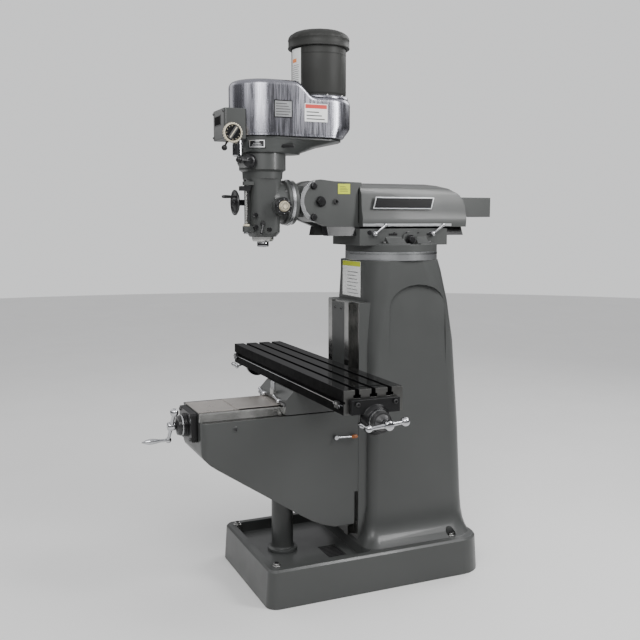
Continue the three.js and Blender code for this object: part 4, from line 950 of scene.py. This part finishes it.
def tilt_scale():
    lo, hi, mid = span("tilt_ring")
    at, r = (mid.x, mid.z), (hi.x - lo.x) / 2
    profile = [(0.04, lo.y), (r - 0.002, lo.y), (r, lo.y + 0.0015), (r, hi.y - 0.0015), (r - 0.002, hi.y),
        (0.04, hi.y), (0.04, lo.y)]
    piece("tilt_scale_ring", "adapter", [(lathe("y", at, profile, 144), SATIN)], smooth=30,
        replaces=("tilt_ring",))
    ring_ticks("y", at, r, lo.y + 0.002, 91, -90, 2, 0.009, BLACK_PAINT_AND_SHADE, "adapter", "tilt_marks")
    shapes = []
    for angle in (35, 145, 215, 325):
        place = polar(at, 0.071, math.radians(angle))
        shapes += bolt_head("y", place, 0.0105, lo.y - 0.0103, -1, 0.011, 0.0135)
    piece("tilt_clamp_nuts", "head", shapes)


def ram_pieces():
    shoulders = []
    for side in (1, -1):
        edge = ((0.074, 1.452), (0.11, 1.452), (0.1128, 1.486), (0.1018, 1.52), (0.0978, 1.581),
            (0.08, 1.6105), (0.074, 1.6125))
        shoulders.append((outline_prism("y", [(side * x, z) for x, z in edge], -0.1896, -0.176), ENAMEL))
    piece("ram_shoulders", "ram", shoulders, bevel=0.001)
    lo = span("ram")[0]
    side = 0.115
    piece("ram_label", "ram", framed_plate("x", (0.0802, 1), (-0.285, 1.582), (-0.232, 1.622), YELLOW,
        YELLOW, 4, GEAR_GREY))
    low, high = lo.z + 0.108, lo.z + 0.156
    y0, y1 = -0.145, 0.14
    lean = 0.012
    plate = [(y0, low), (y1 - lean, low), (y1, high), (y0 + lean, high)]
    inner = [(y0 + 0.006, low + 0.004), (y1 - lean - 0.004, low + 0.004), (y1 - 0.006, high - 0.004),
        (y0 + lean + 0.004, high - 0.004)]
    piece("blank_nameplate", "ram", [(outline_prism("x", plate, side - 0.0006, side + 0.0012), SATIN),
        (outline_prism("x", inner, side, side + 0.0018), BLACK_PAINT_AND_SHADE)], bevel=0.0004)
    z = lo.z + 0.043
    piece("travel_scale", "ram",
        [(block((side - 0.0005, -0.19, z - 0.0055), (side + 0.0012, 0.225, z + 0.0055)), SATIN)])
    marks = []
    for k in range(79):
        y = -0.18 + 0.005 * k
        tall = 0.008 if k % 10 == 0 else (0.006 if k % 5 == 0 else 0.004)
        marks.append((block((side, y, z - 0.0055), (side + 0.0016, y + 0.0005, z - 0.0055 + tall)),
            BLACK_PAINT_AND_SHADE))
    piece("travel_scale_marks", "ram", marks)


def turret_pieces():
    lo, hi, _ = span("turret_ring")
    r = (hi.x - lo.x) / 2
    ring = [(0.11, lo.z), (r - 0.0015, lo.z), (r, lo.z + 0.0012), (r, hi.z - 0.0012), (r - 0.0015, hi.z),
        (0.11, hi.z), (0.11, lo.z)]
    piece("turret_scale_ring", "column", [(lathe("z", (0, 0), ring, 160), SATIN)], smooth=30,
        replaces=("turret_ring",))
    ring_ticks("z", (0, 0), r, hi.z - 0.0125, 181, -90, 1, 0.011, BLACK_PAINT_AND_SHADE, "column", "swivel_marks", 10)
    for place in ("front", "rear"):
        node = "ram_lock_lever_" + place
        _, y, z = pivot("ram_lock_%s_turn" % place)
        x = span(node)[0].x
        hub = lathe("x", (y, z), [(0, x), (0.0105, x), (0.011, x + 0.001), (0.011, x + 0.013),
            (0.0075, x + 0.019), (0.006, x + 0.02), (0, x + 0.02)], 40)
        end = (x + 0.019, y + 0.044, z + 0.036)
        path = [(x + 0.011, y, z), (x + 0.014, y + 0.016, z + 0.013), (x + 0.018, y + 0.036, z + 0.029),
            end]
        knob_lever("ram_clamp_" + place, "ram_lock_" + place, node, path, [0.005, 0.0042, 0.0055, 0.0062],
            end, 0.0082, CHROME, CHROME, hub)
    lo, hi, mid = span("ram_pinion_hub")
    at = (mid.y, mid.z)
    shapes = [(lathe("x", at, raised(lo.x, [(0, 0), (0.0205, 0), (0.021, 0.0006), (0.021, 0.005),
        (0.02, 0.006), (0, 0.006)]), 64), BLACK), (hexagon("x", at, 0.0145, lo.x + 0.006, hi.x), BLACK)]
    piece("pinion_hexagon", "ram_pinion", shapes, bevel=0.0005, replaces=("ram_pinion_hub",))
    turret_lo, turret_hi, _ = span("turret")
    shapes = []
    for angle in (37, 143, 217, 323):
        place = polar((0, 0), 0.174, math.radians(angle))
        shapes += bolt_head("z", place, 0.008, turret_lo.z + 0.0335, 1, 0.008)
    piece("turret_bolts", "turret", shapes)
    face = turret_hi.x - 0.0097
    # Painted shade: black patches standing just off the turret face in place of the dark hollows of its
    # slots and hole.
    shapes = [(rod("x", (-0.195, 1.428), 0.0095, face - 0.003, face + 0.0008), BLACK_PAINT_AND_SHADE)]
    for start, stop in ((-0.108, -0.071), (0.066, 0.09)):
        shapes.append((block((face - 0.003, start, 1.416), (face + 0.0006, stop, 1.4245)), BLACK_PAINT_AND_SHADE))
    piece("turret_slot_painted_shade", "turret", shapes)
    shapes = []
    for k in range(4):
        shapes += bolt_head("x", (-0.085 + 0.055 * k, turret_hi.z - 0.016), 0.0045, face, 1, 0.004)
    piece("gib_screws", "turret", shapes)


# ---------------------------------------------------------------- cranks and dials
def ball_crank(name, body, node, axis, at, hub, arms, angle, handle):
    """A hub with two tapered arms in the plane square to its shaft: one ends in a ball, one in a handle."""
    a = math.radians(angle)
    middle = (hub[0] + hub[1]) / 2
    way = 1 if handle > 0 else -1
    def place(r, s):
        return along(axis, r, a, s, at)
    low, high = sorted(hub)
    profile = [(0, low), (0.013, low), (0.0155, low + 0.002), (0.017, low + 0.006), (0.017, high - 0.006),
        (0.0155, high - 0.002), (0.013, high), (0, high)]
    shapes = [(lathe(axis, at, profile, 48), CHROME)]
    for r, size in ((arms[0], 0.0165), (-arms[1], 0.0125)):
        shapes.append((limb([place(0, middle), place(r * 0.45, middle), place(r, middle)],
            [0.0092, 0.0074, 0.0062]), CHROME))
        shapes.append((ball(place(r, middle), size), CHROME))
    foot, tip = middle + way * 0.008, middle + handle
    grip = [0.0055, 0.0068, 0.0062, 0.0078, 0.0098, 0.0112, 0.0112, 0.0098, 0.006, 0.002]
    path = [place(-arms[1], foot + (tip + way * 0.011 - foot) * k / (len(grip) - 1))
        for k in range(len(grip))]
    shapes.append((limb(path, grip, 28), CHROME))
    piece(name, body, shapes, smooth=40, replaces=(node,))


def graduated_dial(axis, at, radius, face, way, depth, lines):
    """A black dial with a polished knurled band behind and light lines on its slope."""
    def s(d):
        return face + way * d
    rim = [(0, s(0)), (radius - 0.001, s(0)), (radius, s(0.001)), (radius, s(depth * 0.4)),
        (radius - 0.0012, s(depth * 0.43)), (radius - 0.0012, s(depth * 0.46)),
        (radius - 0.0003, s(depth * 0.5)), (radius * 0.9, s(depth)), (radius * 0.45, s(depth + 0.001)),
        (0, s(depth + 0.001))]
    shapes = [(lathe(axis, at, rim, 144), BLACK)]
    knurl = [(0, s(0.0012)), (radius + 0.0002, s(0.0012)), (radius + 0.0006, s(0.002)),
        (radius + 0.0006, s(depth * 0.24)), (radius + 0.0002, s(depth * 0.28)), (0, s(depth * 0.28))]
    shapes.append((lathe(axis, at, knurl, 240, knurled(80, 0.014, (2, 3))), SATIN))
    for k in range(lines):
        ends = sorted((s(depth * 0.3), s(depth * (0.4 if k % 5 == 0 else 0.36))))
        line = radial_bar(axis, at, TAU * k / lines, radius - 0.0012, radius + 0.0002, 0.00035, *ends)
        shapes.append((line, WHITE))
    return shapes


def feed_screws():
    _, y, z = pivot("table_feed_turn")
    for side, angle in (("left", 17), ("right", 5)):
        outer = span("table_crank_" + side)[1].x
        ball_crank("table_handle_" + side, "table_feed", "table_crank_" + side, "x", (y, z),
            (outer - 0.036, outer), (0.066, 0.072), angle, -0.072)
    lo, hi, _ = span("table_screw")
    shapes = [(rod("x", (y, z), 0.0125, lo.x + 0.045, hi.x - 0.045), STEEL)]
    for way in (-1, 1):
        end = hi.x if way > 0 else lo.x
        face = end - way * 0.0492
        shapes += graduated_dial("x", (y, z), DIAL_RADIUS, face, way, 0.03, 100)
        collar = [(0, face + way * 0.03), (0.03, face + way * 0.03), (0.0175, end - way * 0.001),
            (0.0165, end), (0, end)]
        shapes.append((lathe("x", (y, z), collar, 64), BLACK))
    piece("table_screw_dials", "table_feed", shapes, smooth=30, replaces=("table_screw",))
    lo, hi, _ = span("cross_screw")
    x, _, z = pivot("cross_feed_turn")
    shapes = [(rod("y", (x, z), 0.0125, lo.y + 0.025, hi.y), STEEL)]
    face = lo.y + 0.0262
    shapes += graduated_dial("y", (x, z), DIAL_RADIUS, face, -1, 0.02, 100)
    shapes.append((lathe("y", (x, z), [(0, face - 0.02), (0.028, face - 0.02), (0.0165, lo.y + 0.001),
        (0.015, lo.y), (0, lo.y)], 64), BLACK))
    piece("cross_screw_dial", "cross_feed", shapes, smooth=30, replaces=("cross_screw",))
    end = span("cross_crank")[1].y
    ball_crank("cross_handle", "cross_feed", "cross_crank", "y", (x, z), (end - 0.033, end - 0.001),
        (0.084, 0.088), 51, -0.095)


def lift_crank():
    lo, hi, _ = span("elevating_crank")
    x, y, z = pivot("lift_crank_turn")
    at = (y, z)
    shaft = [(0, lo.x + 0.092), (0.0098, lo.x + 0.092), (0.0098, x + 0.09), (0.026, x + 0.09),
        (0.022, x + 0.104), (0.012, hi.x), (0, hi.x)]
    piece("lift_shaft", "lift_crank", [(lathe("x", at, shaft, 48), STEEL)], smooth=30)
    ball_crank("lift_handle", "lift_crank", "elevating_crank", "x", at, (x - 0.044, x - 0.074),
        (0.076, 0.078), 60, -0.090)


# ---------------------------------------------------------------- column, base and knee fittings
def column_fittings():
    face = -0.1852
    left, right, low, high = -0.085, 0.085, 1.163, 1.309
    plate = [(block((left, face - 0.0008, low), (right, face + 0.001, high)), WHITE),
        (block((left + 0.001, face - 0.0012, high - 0.021), (right - 0.001, face, high - 0.001)), YELLOW)]
    for k in range(7):
        z = low + 0.012 + 0.0145 * k
        plate.append((block((left + 0.045, face - 0.0011, z), (right - 0.02 - 0.009 * (k % 3), face,
            z + 0.0035)), SATIN))
    piece("column_label", "column", plate)
    lo, hi, _ = span("column_way_cover")
    shapes = []
    for x in (-0.03, 0.03):
        for z in (hi.z - 0.022, lo.z + 0.03):
            shapes += bolt_head("y", (x, z), 0.0062, lo.y + 0.0008, -1, 0.0032)
    piece("way_cover_screws", "column", shapes)


def base_fittings():
    for place in ("front_left", "front_right", "rear_left", "rear_right"):
        node = "levelling_bolt_" + place
        lo, hi, mid = span(node)
        at = (mid.x, mid.y)
        top = hi.z - 0.015
        shapes = [(lathe("z", at, [(0, lo.z), (0.0078, lo.z), (0.0078, top), (0.0165, top),
            (0.017, top + 0.0006), (0.017, top + 0.003), (0.016, top + 0.004), (0, top + 0.004)], 48),
            STEEL), (hexagon("z", at, 0.0128, top + 0.0039, hi.z - 0.0035), STEEL),
            (lathe("z", at, [(0, hi.z - 0.0036), (0.0076, hi.z - 0.0036), (0.0076, hi.z - 0.001),
            (0.0066, hi.z), (0, hi.z)], 32), BLACK)]
        piece(node + "_set", "column", shapes, bevel=0.0005, replaces=(node,))
    floor = span("screw_pedestal")[0].z
    bars = []
    for k in range(9):
        x = 0.053 + 0.013 * k
        bars.append((block((x - 0.0022, -0.359, floor - 0.012), (x + 0.0022, -0.281, floor - 0.004)),
            BLACK))
    for y in (-0.359, -0.281):
        bars.append((block((0.0465, y - 0.0025, floor - 0.013), (0.1635, y + 0.0025, floor - 0.003)),
            BLACK))
    piece("drain_grate", "column", bars, bevel=0.0005)


def knee_fittings():
    side = span("knee")[1].x
    shapes = [(lathe("x", (-0.747, 0.68), raised(side, [(0, -0.004), (0.0115, -0.004), (0.0115, 0.0012),
        (0.0105, 0.002), (0, 0.002)]), 48), GEAR_GREY),
        (socket_screw("x", (-0.747, 0.68), 0.0072, side + 0.0019, side + 0.0052), BLACK)]
    piece("knee_plug", "knee", shapes)
    _, y, z = pivot("knee_lock_turn")
    x = span("knee_lock_lever")[0].x
    hub = lathe("x", (y, z), [(0, x), (0.0095, x), (0.01, x + 0.001), (0.01, x + 0.012),
        (0.0085, x + 0.016), (0, x + 0.016)], 40)
    shapes = [(hub, CHROME),
        (limb([(x + 0.011, y, z), (x + 0.013, y + 0.04, z - 0.001), (x + 0.015, y + 0.072, z - 0.002)],
        [0.0042, 0.0036, 0.0036]), CHROME),
        (limb([(x + 0.015, y + 0.066, z - 0.002), (x + 0.015, y + 0.07, z - 0.002),
        (x + 0.015, y + 0.088, z - 0.002), (x + 0.015, y + 0.092, z - 0.002)],
        [0.0035, 0.0068, 0.0078, 0.005]), AMBER)]
    piece("knee_clamp", "knee_lock", shapes, smooth=45, replaces=("knee_lock_lever",))
    lo, hi, _ = span("cross_bracket")
    shapes = []
    for px, pz in ((-0.072, lo.z + 0.018), (0.074, lo.z + 0.018), (-0.072, hi.z - 0.012),
            (0.074, hi.z - 0.012)):
        shapes += bolt_head("y", (px, pz), 0.0065, lo.y + 0.0122, -1, 0.005)
    piece("cross_bracket_screws", "knee", shapes)
    x, y, _ = pivot("lift_screw_turn")
    screw_lo, screw_hi, _ = span("elevating_screw")
    thread, at = [], screw_lo.z + 0.004
    while at < screw_hi.z - 0.038:
        thread += [(0.0148, at), (0.0148, at + 0.0018), (0.0125, at + 0.0026), (0.0125, at + 0.0044)]
        at += 0.0051
    gear = screw_hi.z - 0.022
    profile = [(0, screw_lo.z), (0.0148, screw_lo.z)] + thread + [(0.02, at), (0.02, gear), (0.05, gear),
        (0.046, gear + 0.008), (0.033, gear + 0.016), (0.014, gear + 0.018), (0.014, screw_hi.z),
        (0, screw_hi.z)]
    piece("lift_screw_thread", "lift_screw", [(lathe("z", (x, y), profile, 40), STEEL)], smooth=30,
        replaces=("elevating_screw",))


# ---------------------------------------------------------------- saddle and table fittings
def saddle_fittings():
    lo, hi, _ = span("saddle")
    for side in ("left", "right"):
        node = "saddle_lock_lever_" + side
        x, _, z = pivot("saddle_lock_%s_turn" % side)
        y = span(node)[1].y
        hub = lathe("y", (x, z), [(0, y), (0.009, y), (0.009, y - 0.011), (0.0072, y - 0.014),
            (0, y - 0.014)], 36)
        end = (x - 0.034, y - 0.013, z + 0.014)
        path = [(x, y - 0.009, z), (x - 0.017, y - 0.011, z + 0.007), end]
        knob_lever("saddle_clamp_" + side, "saddle_lock_" + side, node, path, [0.0045, 0.0045, 0.0062], end,
            0.0071, CHROME, CHROME, hub, 45)
    front = lo.y
    shapes = [(block((-0.008, front - 0.007, hi.z - 0.062), (0.032, front + 0.006, hi.z - 0.036)), STEEL)]
    for x in (0.002, 0.022):
        shapes.append((lathe("z", (x, front - 0.001),
            raised(hi.z, [(0, -0.04), (0.006, -0.04), (0.006, -0.008), (0.0045, -0.006), (0, -0.006)]), 28),
            CHROME))
    piece("travel_stop_post", "saddle", shapes, bevel=0.001)
    shapes = []
    for side in (-1, 1):
        x0, x1 = sorted((side * 0.112, side * 0.149))
        shapes.append((block((x0, front - 0.006, lo.z + 0.087), (x1, front + 0.0005, lo.z + 0.1)), BLACK))
        shapes.append((block((x0, front - 0.0075, lo.z + 0.09), (x1, front - 0.0055, lo.z + 0.099)), SATIN))
        for x in (x0 + 0.007, x1 - 0.007):
            shapes.append((socket_screw("y", (x, lo.z + 0.0945), 0.0032, front - 0.0073, front - 0.0095),
                BLACK))
    piece("way_wipers", "saddle", shapes, bevel=0.0008)


def table_fittings():
    lo, hi, _ = span("table")
    ledge = hi.z - 0.0555
    piece("side_scale", "table",
        [(block((lo.x + 0.008, lo.y - 0.0004, ledge), (hi.x - 0.008, lo.y + 0.002, ledge + 0.0022)),
        SATIN)])
    shapes = []
    for x in (lo.x + 0.03, hi.x - 0.045):
        shapes.append((block((x - 0.016, lo.y - 0.0085, ledge - 0.013),
            (x + 0.016, lo.y + 0.001, ledge + 0.011)), BLACK))
        shapes.append((rod("x", (lo.y - 0.0035, ledge - 0.002), 0.0048, x - 0.026, x + 0.026, 24), CHROME))
        shapes.append((socket_screw("y", (x, ledge + 0.003), 0.0052, lo.y - 0.0084, lo.y - 0.0099), STEEL))
    piece("travel_stops", "table", shapes, bevel=0.001)
    shapes = []
    for side in ("left", "right"):
        low, high, mid = span("table_bracket_" + side)
        way = 1 if side == "right" else -1
        face = (low.x if way > 0 else high.x) + way * 0.0255
        for y in (mid.y - 0.073, mid.y + 0.073):
            shapes += bolt_head("x", (y, high.z - 0.014), 0.0078, face, way, 0.006)
    piece("bracket_screws", "table", shapes)


world()
camera()
castings()
motor_pieces()
belt_pieces()
head_labels()
speed_dial()
head_levers()
feed_controls()
quill_stop()
quill_nose()
knuckle_pieces()
tilt_scale()
ram_pieces()
turret_pieces()
feed_screws()
lift_crank()
column_fittings()
base_fittings()
knee_fittings()
saddle_fittings()
table_fittings()
leftovers({"spindle": STEEL, "spindle_pulley": GROUND, "motor_pulley": GROUND, "drive_belt": RUBBER})
studio()
